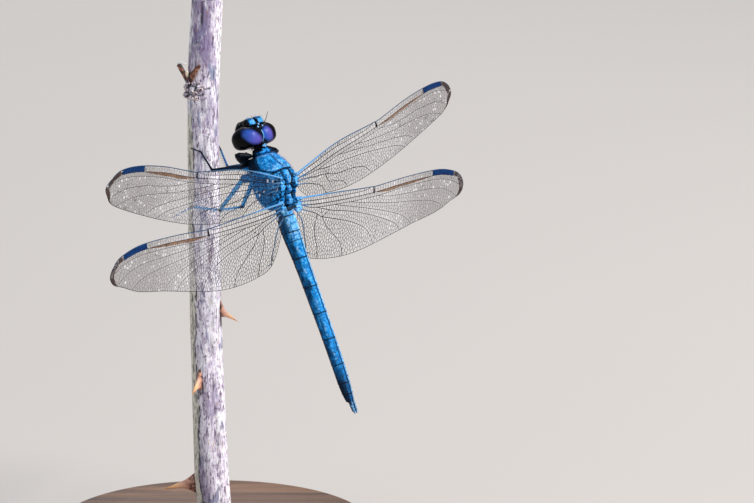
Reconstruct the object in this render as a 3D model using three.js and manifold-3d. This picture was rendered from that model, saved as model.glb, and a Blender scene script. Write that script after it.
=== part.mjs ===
// A male slaty skimmer dragonfly at life size, clinging to a thorny cane on a round display stand.
// Millimetres, +Z up. The origin is the centre of the base's underside.
// The insect is described in its own frame: x forward, y to its left, z towards its back,
// with the zero where the first two abdomen segments meet.
import * as THREE from "three";
import { mergeVertices } from "three/addons/utils/BufferGeometryUtils.js";
import Module from "manifold-3d";

const wasm = await Module();
wasm.setup();

// ---------------------------------------------------------------- driving dimensions

const degrees = Math.PI / 180;
const GAP = 0.3; // between solids that touch on the real thing
const SEAM = 0.2; // between plates and segments that lie edge to edge

// Pose of the insect on its perch.
const BODY = { x: 12.6, y: -15.4, z: 61.5, heading: 143.6, climb: 66.8, roll: -6.55 };

const BASE = { radius: 27, height: 5, bevel: 1.2 };
const ROD = { radius: 1.1, top: 13 };
const SOCKET = { radius: 1.5, top: 13.3 }; // blind hole in the foot of the cane

// Cane axis: height, offset in x, radius.
const CANE = [
  [7.4, -0.02, 2.95],
  [14, -0.42, 2.9],
  [28, -0.9, 2.78],
  [45, -1.27, 2.68],
  [60, -1.44, 2.72],
  [74, -1.55, 2.62],
  [84, -1.4, 2.66],
  [95.2, -0.85, 2.58],
];
const CANE_RIDGES = 5;
const CANE_RIDGE_HEIGHT = 0.07;
const CANE_TWIST = 40; // degrees over the whole length

// Thorns: where they grow, how far they stand out, and how far the hook drops.
const THORNS = [
  { angle: 90, height: 42.6, reach: 2.9, drop: 2.1, tall: 5.2, wide: 1.3 },
  { angle: -27, height: 29.2, reach: 2.2, drop: 1.5, tall: 5.4, wide: 1.4 },
  { angle: -90, height: 11.7, reach: 5.6, drop: 1.1, tall: 2.3, wide: 1.05 },
];
const BUD = { angle: -44, height: 81.6, reach: 1.0, spread: 1.75, tall: 3.0, thick: 0.7 };
const SCAR = { angle: -54, height: 79.4, wide: 2.0, tall: 1.5, deep: 1.15 };

// Thorax: x, top, bottom, half width.
const THORAX = [
  [10.9, 0.35, -2.6, 1.5],
  [10.5, 0.75, -3.25, 2.1],
  [9.6, 1.45, -3.85, 2.75],
  [8.4, 2.35, -4.2, 3.25],
  [7.2, 3.05, -4.3, 3.45],
  [6.1, 3.0, -4.3, 3.45],
  [4.5, 2.45, -4.15, 3.3],
  [3.2, 2.0, -3.75, 2.95],
  [2.2, 1.65, -3.1, 2.45],
  [1.5, 1.4, -2.3, 1.85],
];
const THORAX_POWER = 2.15;
const PROTHORAX = { x: 11.55, z: -1.25, long: 0.48, wide: 1.35, tall: 1.15 };

// Abdomen: the front edge of its first segment, the seams behind it and the end of its last.
const SEGMENT_EDGES = [1.3, 0.0, -2.7, -7.2, -12.2, -16.8, -21.3, -25.8, -29.0, -30.9, -32.3];
// Its outline, which curves gently upwards to the tip: x, half width, top, bottom.
const ABDOMEN = [
  [1.3, 1.35, 1.1, -1.75],
  [0.0, 1.42, 1.08, -2.1],
  [-2.7, 1.36, 1.0, -2.15],
  [-5.0, 1.26, 0.93, -1.95],
  [-7.2, 1.2, 0.83, -1.72],
  [-10.0, 1.2, 0.84, -1.5],
  [-15.0, 1.2, 0.9, -1.24],
  [-20.0, 1.17, 0.92, -1.0],
  [-25.8, 1.14, 0.97, -0.82],
  [-29.0, 1.0, 0.9, -0.62],
  [-31.0, 0.72, 0.76, -0.46],
  [-32.3, 0.54, 0.66, -0.28],
];
const KEEL_POWER = 1.55; // how roof-shaped the back of the abdomen is
const BELLY_POWER = 2.5;
const CERCUS = { length: 1.75, radius: 0.26, out: 0.3, up: 0.4 };
const EPIPROCT = { length: 1.2, radius: 0.25, up: -0.12 };

// Head.
const EYE = { x: 14.42, y: 1.7, z: -1.65, long: 1.9, wide: 2.2, tall: 2.6, backPower: 3, sidePower: 2.35 };
const CORE = { x: 14.45, z: -2.15, long: 2.25, wide: 1.55, tall: 1.75 };
const VERTEX = { x: 15.25, z: -0.3, long: 0.62, wide: 0.72, tall: 0.75 };
const OCCIPUT = { x: 12.85, z: -0.35, long: 0.4, wide: 0.6, tall: 0.55 };
const NECK = { x: 12.45, z: -1.5, radius: 0.75, length: 0.9 };
const FRONS = { x: 16.3, z: -0.45, long: 1.1, wide: 1.95, tall: 1.1, frontPower: 2.5, backPower: 2.6 };
const FACE = { x: 16.0, z: -2.7, long: 1.42, wide: 1.85, tall: 1.75, frontPower: 2.9, backPower: 2.4 };
const ANTENNA = { x: 15.95, y: 0.95, z: 0.92, length: 1.9, lean: 12, spread: 36, radius: 0.26 };

// Wings. Chords and offsets are fractions of the length, measured back from a straight
// leading line; sweep, dihedral and pitch are in degrees.
const WING_THICKNESS = 0.5;
const FORE_WING = {
  length: 41,
  root: { x: 6.07, y: 1.75, z: 3.16 },
  leading: [
    [0.25, -0.027], [0.48, -0.012], [0.53, -0.01], [0.7, -0.026], [0.84, -0.025], [0.93, -0.008],
  ],
  tip: [[0.975, 0.022], [1, 0.068]],
  trailing: [
    [0.985, 0.1], [0.94, 0.137], [0.8, 0.167], [0.62, 0.193], [0.45, 0.205],
    [0.3, 0.196], [0.17, 0.165], [0.08, 0.14], [0.03, 0.098], [0, 0.055],
  ],
};
const HIND_WING = {
  length: 40,
  root: { x: 2.2, y: 2.03, z: 1.84 },
  leading: [
    [0.22, 0.002], [0.42, 0.006], [0.47, 0.004], [0.64, -0.014], [0.82, -0.022], [0.92, -0.006],
  ],
  tip: [[0.972, 0.02], [1, 0.066]],
  trailing: [
    [0.985, 0.105], [0.93, 0.13], [0.84, 0.17], [0.7, 0.203], [0.55, 0.243], [0.4, 0.279],
    [0.27, 0.291], [0.15, 0.283], [0.08, 0.262], [0.035, 0.2], [0, 0.095],
  ],
};
const WINGS = [
  { name: "wing_fore_left", plan: FORE_WING, side: 1, sweep: 11.4, dihedral: 6.1, pitch: 34.9 },
  { name: "wing_fore_right", plan: FORE_WING, side: -1, sweep: 12.2, dihedral: 4.5, pitch: 31.7 },
  { name: "wing_hind_left", plan: HIND_WING, side: 1, sweep: -1.6, dihedral: -1.1, pitch: 27.0 },
  { name: "wing_hind_right", plan: HIND_WING, side: -1, sweep: -4.6, dihedral: 1.1, pitch: 30.8 },
];
const WING_BOSS = { long: 1.4, wide: 0.85, tall: 0.55 };

// Legs. Hips and knees are in the insect's frame; a foot on the cane is given by the angle
// round it (0 faces -Y, 90 faces +X) and the height.
const FEMUR = { hip: 0.47, knee: 0.34 };
const TIBIA = { knee: 0.31, foot: 0.26 };
const TARSUS = { foot: 0.26, claw: 0.25 };
const GRIP = 0.6; // from the bark to the middle of a foot
const LEGS = [
  {
    name: "leg_fore_left",
    hip: [10.75, 1.35, -3.85],
    knee: [12.1, 4.35, -2.55],
    ankle: [11.75, 1.75, -1.55],
    claw: [12.15, 1.2, -3.3],
  },
  {
    name: "leg_fore_right",
    hip: [10.75, -1.35, -3.85],
    knee: [10.95, -4.5, -2.0],
    ankle: [11.95, -1.75, -1.7],
    claw: [12.2, -1.2, -3.4],
  },
  {
    name: "leg_mid_left",
    hip: [10.15, 1.5, -4.65],
    knee: [11.36, 2.81, -10.53],
    grip: [[-8, 69.8], [-44, 70.2]],
  },
  {
    name: "leg_mid_right",
    hip: [10.1, -1.5, -4.65],
    knee: [11.16, -1.06, -10.74],
    grip: [[100, 69.6], [134, 70.9]],
  },
  {
    name: "leg_hind_left",
    hip: [8.25, 1.52, -5.65],
    knee: [4.84, 1.72, -12.91],
    grip: [[-43, 60.3]],
    claw: [6.55, 1.85, -23.6],
  },
  {
    name: "leg_hind_right",
    hip: [8.25, -1.49, -5.65],
    knee: [4.31, -3.0, -12.42],
    grip: [[95, 59.3], [129, 58.0]],
  },
];
const COXAE = [
  { x: 10.3, y: 1.2, z: -3.0, radius: 0.7 },
  { x: 9.5, y: 1.3, z: -3.75, radius: 0.8 },
  { x: 7.9, y: 1.35, z: -4.1, radius: 0.95 },
];

// ---------------------------------------------------------------- finishes

function finish(color, roughness, metalness = 0) {
  return { color, roughness, metalness };
}

const BLUE = finish(0x2f7fc4, 0.75);
const DARK_BLUE = finish(0x123c66, 0.6);
const BLACK = finish(0x101318, 0.5);
const EYE_FINISH = finish(0x1b2350, 0.2);
const WING_FINISH = finish(0xa9a4a6, 0.4);
const BARK = finish(0xbdb6c6, 0.9);
const WALNUT = finish(0x5a3a26, 0.5);
const STEEL = finish(0xb8bcc0, 0.35, 1);

function piece(name, geometry, look) {
  const mesh = new THREE.Mesh(geometry, new THREE.MeshStandardMaterial(look));
  mesh.name = name;
  return mesh;
}

// ---------------------------------------------------------------- shared shape tools

// Value of each column of a table at a given first column, on smooth curves through the rows.
function sample(table, key) {
  const rising = table[1][0] > table[0][0];
  const past = table.findIndex((row) => (rising ? row[0] >= key : row[0] <= key));
  const last = table.length - 1;
  const upper = past < 0 ? last : Math.max(past, 1);
  const rows = [upper - 2, upper - 1, upper, upper + 1].map((i) => table[Math.min(Math.max(i, 0), last)]);
  const t = THREE.MathUtils.clamp((key - rows[1][0]) / (rows[2][0] - rows[1][0]), 0, 1);
  return rows[1].map((start, column) => {
    const [before, , end, after] = rows.map((row) => row[column]);
    const slopeIn = (end - before) / 2;
    const slopeOut = (after - start) / 2;
    const a = 2 * t ** 3 - 3 * t ** 2 + 1;
    const b = t ** 3 - 2 * t ** 2 + t;
    return a * start + b * slopeIn + (1 - a) * end + (t ** 3 - t ** 2) * slopeOut;
  });
}

// Moves every vertex of a geometry to place(vertex).
function reshape(geometry, place) {
  const positions = geometry.getAttribute("position");
  const vertex = new THREE.Vector3();
  for (let i = 0; i < positions.count; i += 1) {
    vertex.fromBufferAttribute(positions, i);
    positions.setXYZ(i, ...place(vertex).toArray());
  }
  return geometry;
}

// A closed body through a row of rings; ring(k, across, up) places a point of ring k, where
// across and up run round the unit circle and are both 0 at the middle of an end face.
function loft(rings, sides, ring) {
  const rows = rings - 1;
  const blank = new THREE.CylinderGeometry(1, 1, rows, sides, rows);
  return reshape(blank, (v) => ring(Math.round(rows / 2 - v.y), v.z, v.x));
}

function rounded(value, power) {
  return Math.sign(value) * Math.abs(value) ** (2 / power);
}

// An egg that is squarer than round in front, behind or at the sides where a power is above 2.
function egg(form, grow = 0, across = 16, up = 10) {
  const { x, y = 0, z, long, wide, tall, frontPower = 2, backPower = 2, sidePower = 2 } = form;
  return reshape(new THREE.SphereGeometry(1, across, up), (v) => {
    const power = v.z < 0 ? backPower : frontPower;
    const rest = (Math.abs(v.x) ** sidePower + Math.abs(v.y) ** sidePower) ** (1 / sidePower);
    const reach = (Math.abs(v.z) ** power + rest ** power) ** (-1 / power);
    return new THREE.Vector3(
      x + v.z * reach * (long + grow),
      y + v.x * reach * (wide + grow),
      z + v.y * reach * (tall + grow),
    );
  });
}

function block(x, y, z, long, wide, tall) {
  return new THREE.BoxGeometry(long, wide, tall).translate(x, y, z);
}

// A tapered rod between two points, with a ball round each, grown by a margin when it cuts.
function limb(start, end, startRadius, endRadius, grow = 0, sides = 6) {
  const axis = end.clone().sub(start);
  const length = axis.length();
  const [low, high] = [startRadius + grow, endRadius + grow];
  const bevel = Math.SQRT1_2;
  const outline = [
    [0, -low],
    [low * bevel, -low * bevel],
    [low, 0],
    [high, length],
    [high * bevel, length + high * bevel],
    [0, length + high],
  ];
  const rod = new THREE.LatheGeometry(outline.map(([r, h]) => new THREE.Vector2(r, h)), sides);
  const upright = new THREE.Vector3(0, 1, 0);
  rod.applyQuaternion(new THREE.Quaternion().setFromUnitVectors(upright, axis.normalize()));
  return rod.translate(start.x, start.y, start.z);
}

function toSolid(geometry) {
  const bare = geometry.clone();
  bare.deleteAttribute("normal");
  bare.deleteAttribute("uv");
  const merged = mergeVertices(bare, 1e-4);
  return new wasm.Manifold(
    new wasm.Mesh({
      numProp: 3,
      vertProperties: new Float32Array(merged.getAttribute("position").array),
      triVerts: new Uint32Array(merged.index.array),
    }),
  );
}

function toGeometry(solid) {
  const mesh = solid.getMesh();
  const geometry = new THREE.BufferGeometry();
  geometry.setAttribute("position", new THREE.BufferAttribute(mesh.vertProperties, mesh.numProp));
  geometry.setIndex(new THREE.BufferAttribute(mesh.triVerts, 1));
  return geometry;
}

function join(...geometries) {
  return toGeometry(geometries.map(toSolid).reduce((all, next) => all.add(next)));
}

function cut(geometry, ...tools) {
  return toGeometry(tools.map(toSolid).reduce((all, next) => all.subtract(next), toSolid(geometry)));
}

// ---------------------------------------------------------------- stand

function makeBase() {
  const { radius, height, bevel } = BASE;
  const outline = [
    [0, 0],
    [radius - bevel / 2, 0],
    [radius, bevel / 2],
    [radius, height - bevel],
    [radius - bevel * 0.3, height - bevel * 0.3],
    [radius - bevel, height],
    [0, height],
  ];
  const disc = new THREE.LatheGeometry(outline.map(([r, h]) => new THREE.Vector2(r, h)), 36);
  return piece("stand_base", disc.rotateX(Math.PI / 2), WALNUT);
}

function makeRod() {
  const height = ROD.top - BASE.height;
  const rod = new THREE.CylinderGeometry(ROD.radius, ROD.radius, height, 20);
  rod.rotateX(Math.PI / 2).translate(CANE[0][1], 0, BASE.height + height / 2);
  return piece("stand_rod", rod, STEEL);
}

// ---------------------------------------------------------------- perch

function canePoint(angle, height, outwards = 0) {
  const [, offset, radius] = sample(CANE, height);
  const reach = radius + outwards;
  const turn = angle * degrees;
  return new THREE.Vector3(offset + reach * Math.sin(turn), -reach * Math.cos(turn), height);
}

// Sets a growth made round the origin, pointing along +x, on the bark.
function plant(geometry, angle, height) {
  const [, offset, radius] = sample(CANE, height);
  return geometry.translate(radius, 0, 0).rotateZ((angle - 90) * degrees).translate(offset, 0, height);
}

function makeThorn({ angle, height, reach, drop, tall, wide }) {
  const root = 1.2; // how deep the thorn starts in the cane
  const steps = 7;
  const thorn = loft(steps, 8, (k, across, up) => {
    const along = 1 - k / (steps - 1);
    const swell = Math.max((1 - along) ** 1.9, 0.04);
    return new THREE.Vector3(
      -root + along * (reach + root),
      across * wide * swell,
      up * tall * swell - drop * along ** 1.6,
    );
  });
  return plant(thorn, angle, height);
}

// Two scales of an opened bud that part in a V.
function makeBudScale(turn) {
  const { angle, height, reach, spread, tall, thick } = BUD;
  const tip = new THREE.Vector3(reach, turn * spread, tall);
  const scale = limb(new THREE.Vector3(-0.4, 0, -0.5), tip, thick, thick * 0.5);
  return plant(scale, angle, height);
}

function makeScar() {
  const { angle, height, wide, tall, deep } = SCAR;
  return plant(egg({ x: -0.25, z: 0, long: deep, wide, tall }, 0, 8, 6), angle, height);
}

function makePerch() {
  const rings = 19;
  const foot = CANE[0][0];
  const top = CANE[CANE.length - 1][0];
  const cane = loft(rings, 16, (k, across, up) => {
    const height = top - ((top - foot) * k) / (rings - 1);
    const [, offset, radius] = sample(CANE, height);
    const turn = Math.atan2(up, across) + (CANE_TWIST * degrees * (height - foot)) / (top - foot);
    const reach = radius + CANE_RIDGE_HEIGHT * Math.cos(CANE_RIDGES * turn);
    return new THREE.Vector3(offset + up * reach, -across * reach, height);
  });
  const socketHeight = SOCKET.top - foot + 1;
  const socket = new THREE.CylinderGeometry(SOCKET.radius, SOCKET.radius, socketHeight, 16);
  socket.rotateX(Math.PI / 2).translate(CANE[0][1], 0, SOCKET.top - socketHeight / 2);
  const growths = [...THORNS.map(makeThorn), makeBudScale(-1), makeBudScale(1), makeScar()];
  return piece("perch_stem", cut(join(cane, ...growths), socket), BARK);
}

// ---------------------------------------------------------------- trunk

// Thorax rings, grown by a margin when it is used as a cutter.
function thoraxBody(margin = 0) {
  const rings = 12;
  const front = THORAX[0][0];
  const back = THORAX[THORAX.length - 1][0];
  return loft(rings, 18, (k, across, up) => {
    const x = front - ((front - back) * k) / (rings - 1);
    const [, top, bottom, half] = sample(THORAX, x);
    const middle = (top + bottom) / 2;
    const reach = (top - bottom) / 2 + margin;
    return new THREE.Vector3(
      x + (k === 0 ? margin : 0) - (k === rings - 1 ? margin : 0),
      rounded(across, THORAX_POWER) * (half + margin),
      middle + rounded(up, THORAX_POWER) * reach,
    );
  });
}

function wingBosses(grow = 0) {
  return WINGS.map(({ plan, side }) => {
    const { x, y, z } = plan.root;
    return egg({ x: x - 0.8, y: side * (y - 0.3), z: z - 0.85, ...WING_BOSS }, grow, 8, 6);
  });
}

function coxae(grow = 0) {
  return COXAE.flatMap(({ x, y, z, radius }, pair) =>
    [1, -1].map((side) => {
      const hip = new THREE.Vector3(...LEGS[pair * 2 + (side < 0 ? 1 : 0)].hip);
      return limb(new THREE.Vector3(x, side * y, z + 0.8), hip, radius, radius * 0.6, grow);
    }),
  );
}

function makeThorax() {
  return piece("thorax", join(thoraxBody(), ...wingBosses(), ...coxae()), BLUE);
}

function makeProthorax() {
  return piece("prothorax", egg(PROTHORAX, 0, 14, 8), DARK_BLUE);
}

// ---------------------------------------------------------------- abdomen

function abdomenPoint(x, across, up) {
  const [, half, top, bottom] = sample(ABDOMEN, x);
  const power = up > 0 ? KEEL_POWER : BELLY_POWER;
  const middle = (top + bottom) / 2;
  const reach = (top - bottom) / 2;
  return new THREE.Vector3(x, rounded(across, power) * half, middle + rounded(up, power) * reach);
}

function makeAbdomen() {
  const rings = 4;
  return SEGMENT_EDGES.slice(1).map((back, i) => {
    const front = SEGMENT_EDGES[i] - SEAM / 2;
    const end = back + SEAM / 2;
    const segment = loft(rings, 14, (k, across, up) =>
      abdomenPoint(front - ((front - end) * k) / (rings - 1), across, up),
    );
    return piece(`abdomen_${i + 1}`, segment, i < 7 ? BLUE : DARK_BLUE);
  });
}

function makeAppendages() {
  const start = SEGMENT_EDGES[SEGMENT_EDGES.length - 1] - SEAM;
  const cerci = [1, -1].map((side) => {
    const root = new THREE.Vector3(start, side * CERCUS.out * 0.85, CERCUS.up);
    const tip = new THREE.Vector3(start - CERCUS.length, side * CERCUS.out * 1.25, CERCUS.up);
    const name = side > 0 ? "cercus_left" : "cercus_right";
    return piece(name, limb(root, tip, CERCUS.radius, CERCUS.radius), DARK_BLUE);
  });
  const base = new THREE.Vector3(start, 0, EPIPROCT.up);
  const point = new THREE.Vector3(start - EPIPROCT.length, 0, EPIPROCT.up);
  const epiproct = limb(base, point, EPIPROCT.radius, EPIPROCT.radius);
  return [...cerci, piece("epiproct", epiproct, BLACK)];
}

// ---------------------------------------------------------------- head

function headCore(grow = 0) {
  const neckLength = NECK.length + 2;
  const neck = new THREE.CylinderGeometry(NECK.radius, NECK.radius, neckLength, 12);
  neck.rotateZ(Math.PI / 2).translate(NECK.x + neckLength / 2 - NECK.length / 2, 0, NECK.z);
  return join(egg(CORE, grow), egg(VERTEX, grow, 8, 6), egg(OCCIPUT, grow, 8, 6), neck);
}

function makeHead() {
  const fronsCutter = egg(FRONS, SEAM);
  const faceCutter = egg(FACE, SEAM);
  const coreCutter = headCore(SEAM);
  const pieces = [
    piece("head_capsule", headCore(), BLACK),
    piece("frons", cut(egg(FRONS), coreCutter), BLUE),
    piece("mouthparts", cut(egg(FACE), coreCutter, fronsCutter), BLACK),
  ];
  for (const [name, side] of [["eye_left", 1], ["eye_right", -1]]) {
    const ball = egg({ ...EYE, y: side * EYE.y }, 0, 18, 12);
    const beyondSeam = block(EYE.x, side * (SEAM / 2 - 5), EYE.z, 10, 10, 10);
    pieces.push(piece(name, cut(ball, beyondSeam, coreCutter, fronsCutter, faceCutter), EYE_FINISH));
  }
  for (const [name, side] of [["antenna_left", 1], ["antenna_right", -1]]) {
    const { x, y, z, length, lean, spread, radius } = ANTENNA;
    const root = new THREE.Vector3(x, side * y, z);
    const ahead = length * Math.cos(spread * degrees);
    const reach = new THREE.Vector3(
      ahead * Math.cos(lean * degrees),
      side * length * Math.sin(spread * degrees),
      ahead * Math.sin(lean * degrees),
    );
    pieces.push(piece(name, limb(root, root.clone().add(reach), radius, radius), BLACK));
  }
  return pieces;
}

// ---------------------------------------------------------------- wings

function makeWing({ name, plan, side, sweep, dihedral, pitch }, thoraxCutter) {
  const along = new THREE.Vector3(
    Math.sin(sweep * degrees),
    side * Math.cos(sweep * degrees) * Math.cos(dihedral * degrees),
    Math.cos(sweep * degrees) * Math.sin(dihedral * degrees),
  );
  const level = new THREE.Vector3(-1, 0, 0).addScaledVector(along, along.x).normalize();
  const upwards = new THREE.Vector3().crossVectors(along, level).multiplyScalar(side);
  const chord = level.multiplyScalar(Math.cos(pitch * degrees));
  chord.addScaledVector(upwards, -Math.sin(pitch * degrees));
  const points = (list) => list.map(([s, c]) => new THREE.Vector2(s * plan.length, c * plan.length));
  const outline = new THREE.Shape();
  outline.moveTo(0, 0);
  outline.splineThru(points([...plan.leading, ...plan.tip, ...plan.trailing]));
  outline.closePath();
  const plate = new THREE.ExtrudeGeometry(outline, {
    depth: WING_THICKNESS,
    bevelEnabled: false,
    curveSegments: 2,
  });
  plate.translate(0, 0, -WING_THICKNESS / 2);
  const normal = new THREE.Vector3().crossVectors(along, chord);
  plate.applyMatrix4(new THREE.Matrix4().makeBasis(along, chord, normal));
  plate.translate(plan.root.x, side * plan.root.y, plan.root.z);
  return piece(name, cut(plate, ...thoraxCutter), WING_FINISH);
}

// ---------------------------------------------------------------- legs

// Each part of a leg is cut back from the one before it, the femur from the trunk.
function makeLeg({ name, hip, knee, ankle, claw, grip }, toPerch, trunkCutters) {
  const own = (point) => new THREE.Vector3(...point);
  const onCane = ([angle, height]) => canePoint(angle, height, GRIP).applyMatrix4(toPerch);
  const third = grip ? onCane(grip[0]) : own(ankle);
  const last = claw ? own(claw) : onCane(grip[1]);
  const joints = [own(hip), own(knee), third, last];
  const shapes = [
    ["femur", FEMUR.hip, FEMUR.knee],
    ["tibia", TIBIA.knee, TIBIA.foot],
    ["tarsus", TARSUS.foot, TARSUS.claw],
  ];
  return shapes.map(([part, thick, thin], i) => {
    const rod = limb(joints[i], joints[i + 1], thick, thin);
    if (i === 0) return piece(`${name}_${part}`, cut(rod, ...trunkCutters), DARK_BLUE);
    const [, thickBefore, thinBefore] = shapes[i - 1];
    const socket = limb(joints[i - 1], joints[i], thickBefore, thinBefore, SEAM);
    return piece(`${name}_${part}`, cut(rod, socket), BLACK);
  });
}

// ---------------------------------------------------------------- assembly

const insect = new THREE.Group();
insect.position.set(BODY.x, BODY.y, BODY.z);
insect.rotation.set(BODY.roll * degrees, -BODY.climb * degrees, BODY.heading * degrees, "ZYX");
insect.updateMatrixWorld(true);
const worldToInsect = insect.matrixWorld.clone().invert();
const wingCutters = [thoraxBody(GAP), ...wingBosses(GAP)];
const legCutters = [thoraxBody(GAP), ...coxae(GAP)];

insect.add(
  ...makeHead(),
  makeProthorax(),
  makeThorax(),
  ...makeAbdomen(),
  ...makeAppendages(),
  ...WINGS.map((wing) => makeWing(wing, wingCutters)),
  ...LEGS.flatMap((leg) => makeLeg(leg, worldToInsect, legCutters)),
);

const group = new THREE.Group();
group.add(insect, makePerch(), makeBase(), makeRod());

export default group;
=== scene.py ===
"""A male slaty skimmer dragonfly at life size, clinging to a cut length of thorny cane on a display stand.

The insect is modelled in millimetres in its own frame: x forward, y to its left, z towards its back,
with the zero where its first two abdomen segments meet. Each finished mesh is then put in its place in
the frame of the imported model, in metres.
"""

import logging
import math
from dataclasses import dataclass, field, replace
from enum import Enum
from typing import Callable, ClassVar, Sequence

import bpy
import numpy as np
from mathutils import Euler, Matrix, Vector, noise
from mathutils.geometry import delaunay_2d_cdt


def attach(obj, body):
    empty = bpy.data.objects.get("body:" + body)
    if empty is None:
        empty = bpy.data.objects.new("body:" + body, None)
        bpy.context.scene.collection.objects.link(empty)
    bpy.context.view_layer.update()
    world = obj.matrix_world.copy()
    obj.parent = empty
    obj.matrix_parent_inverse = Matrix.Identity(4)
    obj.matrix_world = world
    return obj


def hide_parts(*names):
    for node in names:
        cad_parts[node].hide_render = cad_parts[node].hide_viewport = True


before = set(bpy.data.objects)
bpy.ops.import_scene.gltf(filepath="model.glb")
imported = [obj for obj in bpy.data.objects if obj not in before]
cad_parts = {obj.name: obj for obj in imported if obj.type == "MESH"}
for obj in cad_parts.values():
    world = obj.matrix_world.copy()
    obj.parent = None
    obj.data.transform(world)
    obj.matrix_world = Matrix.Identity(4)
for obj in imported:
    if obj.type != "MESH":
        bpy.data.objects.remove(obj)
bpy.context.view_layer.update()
MM = 0.001
MERGE = 1e-5
SHRINK = Matrix.Scale(MM, 4)
log = logging.getLogger("skimmer")

Array = np.ndarray
Piece = bpy.types.Object
Socket = bpy.types.NodeSocket
Point = Sequence[float]
Triple = tuple[float, float, float]
Colour = Triple
Pairs = tuple[tuple[float, float], ...]
Stops = tuple[tuple[float, Colour], ...]
Table = Sequence[Point]
Ring = Callable[[Array, Array, Array], Array]


# ---- frames and curves


@dataclass(frozen=True)
class Pose:
    """Where the insect clings: the place of its zero, in millimetres, and its turns in degrees."""

    place: Triple = (12.6, -15.4, 61.5)
    heading: float = 143.6
    climb: float = 66.8
    roll: float = -6.55

    def turns(self) -> Euler:
        """The three turns as one Euler rotation."""
        return Euler((math.radians(self.roll), -math.radians(self.climb), math.radians(self.heading)), "XYZ")

    def matrix(self) -> Matrix:
        """From the insect's millimetres to the model's metres."""
        return Matrix.Translation(Vector(self.place) * MM) @ self.turns().to_matrix().to_4x4() @ SHRINK


POSE = Pose()


def sample(table: Table, keys: Array) -> Array:
    """Reads a table of rows at given first-column values, on smooth curves through its rows.

    Args:
        table: Rows of numbers whose first column rises or falls throughout.
        keys: First-column values to read at.

    Returns:
        One row for each key, with the table's columns.
    """
    rows = np.asarray(table, float)
    keys = np.asarray(keys, float)
    if rows[0, 0] > rows[-1, 0]:
        upper = len(rows) - np.searchsorted(rows[::-1, 0], keys, side="right")
    else:
        upper = np.searchsorted(rows[:, 0], keys, side="left")
    upper = np.clip(upper, 1, len(rows) - 1)
    before, start, end, after = (rows[np.clip(upper + i, 0, len(rows) - 1)] for i in (-2, -1, 0, 1))
    t = np.clip((keys - start[:, 0]) / (end[:, 0] - start[:, 0]), 0, 1)[:, None]
    blend = 2 * t**3 - 3 * t**2 + 1
    slope_in = (end - before) / 2
    slope_out = (after - start) / 2
    return blend * start + (t**3 - 2 * t**2 + t) * slope_in + (1 - blend) * end + (t**3 - t**2) * slope_out


def spline(points: Table, steps: int) -> Array:
    """A smooth line through points, with a number of steps for each stretch."""
    knots = np.asarray(points, float)
    keys = np.linspace(0, len(knots) - 1, (len(knots) - 1) * steps + 1)
    return sample(np.column_stack([np.arange(len(knots)), knots]), keys)[:, 1:]


def rounded(value: Array, power: float | Array) -> Array:
    """Turns a unit circle's coordinate into a squarer or sharper one."""
    return np.sign(value) * np.abs(value) ** (2 / power)


def smooth(low: float, high: float, value: Array) -> Array:
    """A soft step from 0 at low to 1 at high."""
    t = np.clip((np.asarray(value, float) - low) / (high - low), 0, 1)
    return t * t * (3 - 2 * t)


def window(low: float, rise: float, fall: float, high: float, value: Array) -> Array:
    """A soft step up from 0 at low to 1 at rise, and down again from fall to high."""
    return smooth(low, rise, value) * smooth(high, fall, value)


def hill(value: Array, width: float, middle: float = 0.0) -> Array:
    """A bell curve that is 1 at its middle."""
    return np.exp(-(((value - middle) / width) ** 2))


def unit(way: Array) -> Array:
    """A direction, or rows of them, at a length of 1."""
    return way / np.linalg.norm(way, axis=-1, keepdims=True)


def distance_to_line(points: Array, line: Table) -> Array:
    """How far each point lies from a line of straight stretches, in any number of dimensions."""
    path = np.asarray(line, float)
    nearest = np.full(len(points), np.inf)
    for start, end in zip(path[:-1], path[1:]):
        run = end - start
        along = np.clip((points - start) @ run / max(run @ run, 1e-12), 0, 1)
        nearest = np.minimum(nearest, np.linalg.norm(points - start - along[:, None] * run, axis=1))
    return nearest


def grain(points: Array, scale: float) -> Array:
    """Smooth random numbers from -1 to 1 over space."""
    return np.array([noise.noise(Vector(p) * scale) for p in points])


# ---- modelling steps


@dataclass(frozen=True)
class Egg:
    """An egg that is squarer than round in front, behind or at the sides where a power is above 2."""

    x: float
    y: float
    z: float
    long: float
    wide: float
    tall: float
    front: float = 2.0
    back: float = 2.0
    side: float = 2.0

    def shape(self, ball: Array) -> Array:
        """Moves the points of a unit ball onto the egg."""
        power = np.where(ball[:, 0] < 0, self.back, self.front)
        rest = (np.abs(ball[:, 1]) ** self.side + np.abs(ball[:, 2]) ** self.side) ** (1 / self.side)
        reach = (np.abs(ball[:, 0]) ** power + rest**power) ** (-1 / power)
        return (self.x, self.y, self.z) + ball * reach[:, None] * (self.long, self.wide, self.tall)

    def inside(self, points: Array) -> Array:
        """How deep points lie in the egg: 1 at its middle, 0 on its surface, less than 0 outside."""
        middle, size = (self.x, self.y, self.z), (self.long, self.wide, self.tall)
        return 1 - np.linalg.norm((points - middle) / size, axis=1)


def mirrored(*forms: Egg) -> list[Egg]:
    """The eggs as they are given for the left side, and then the same on the right."""
    return [replace(form, y=side * form.y) for side in (1, -1) for form in forms]


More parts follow.
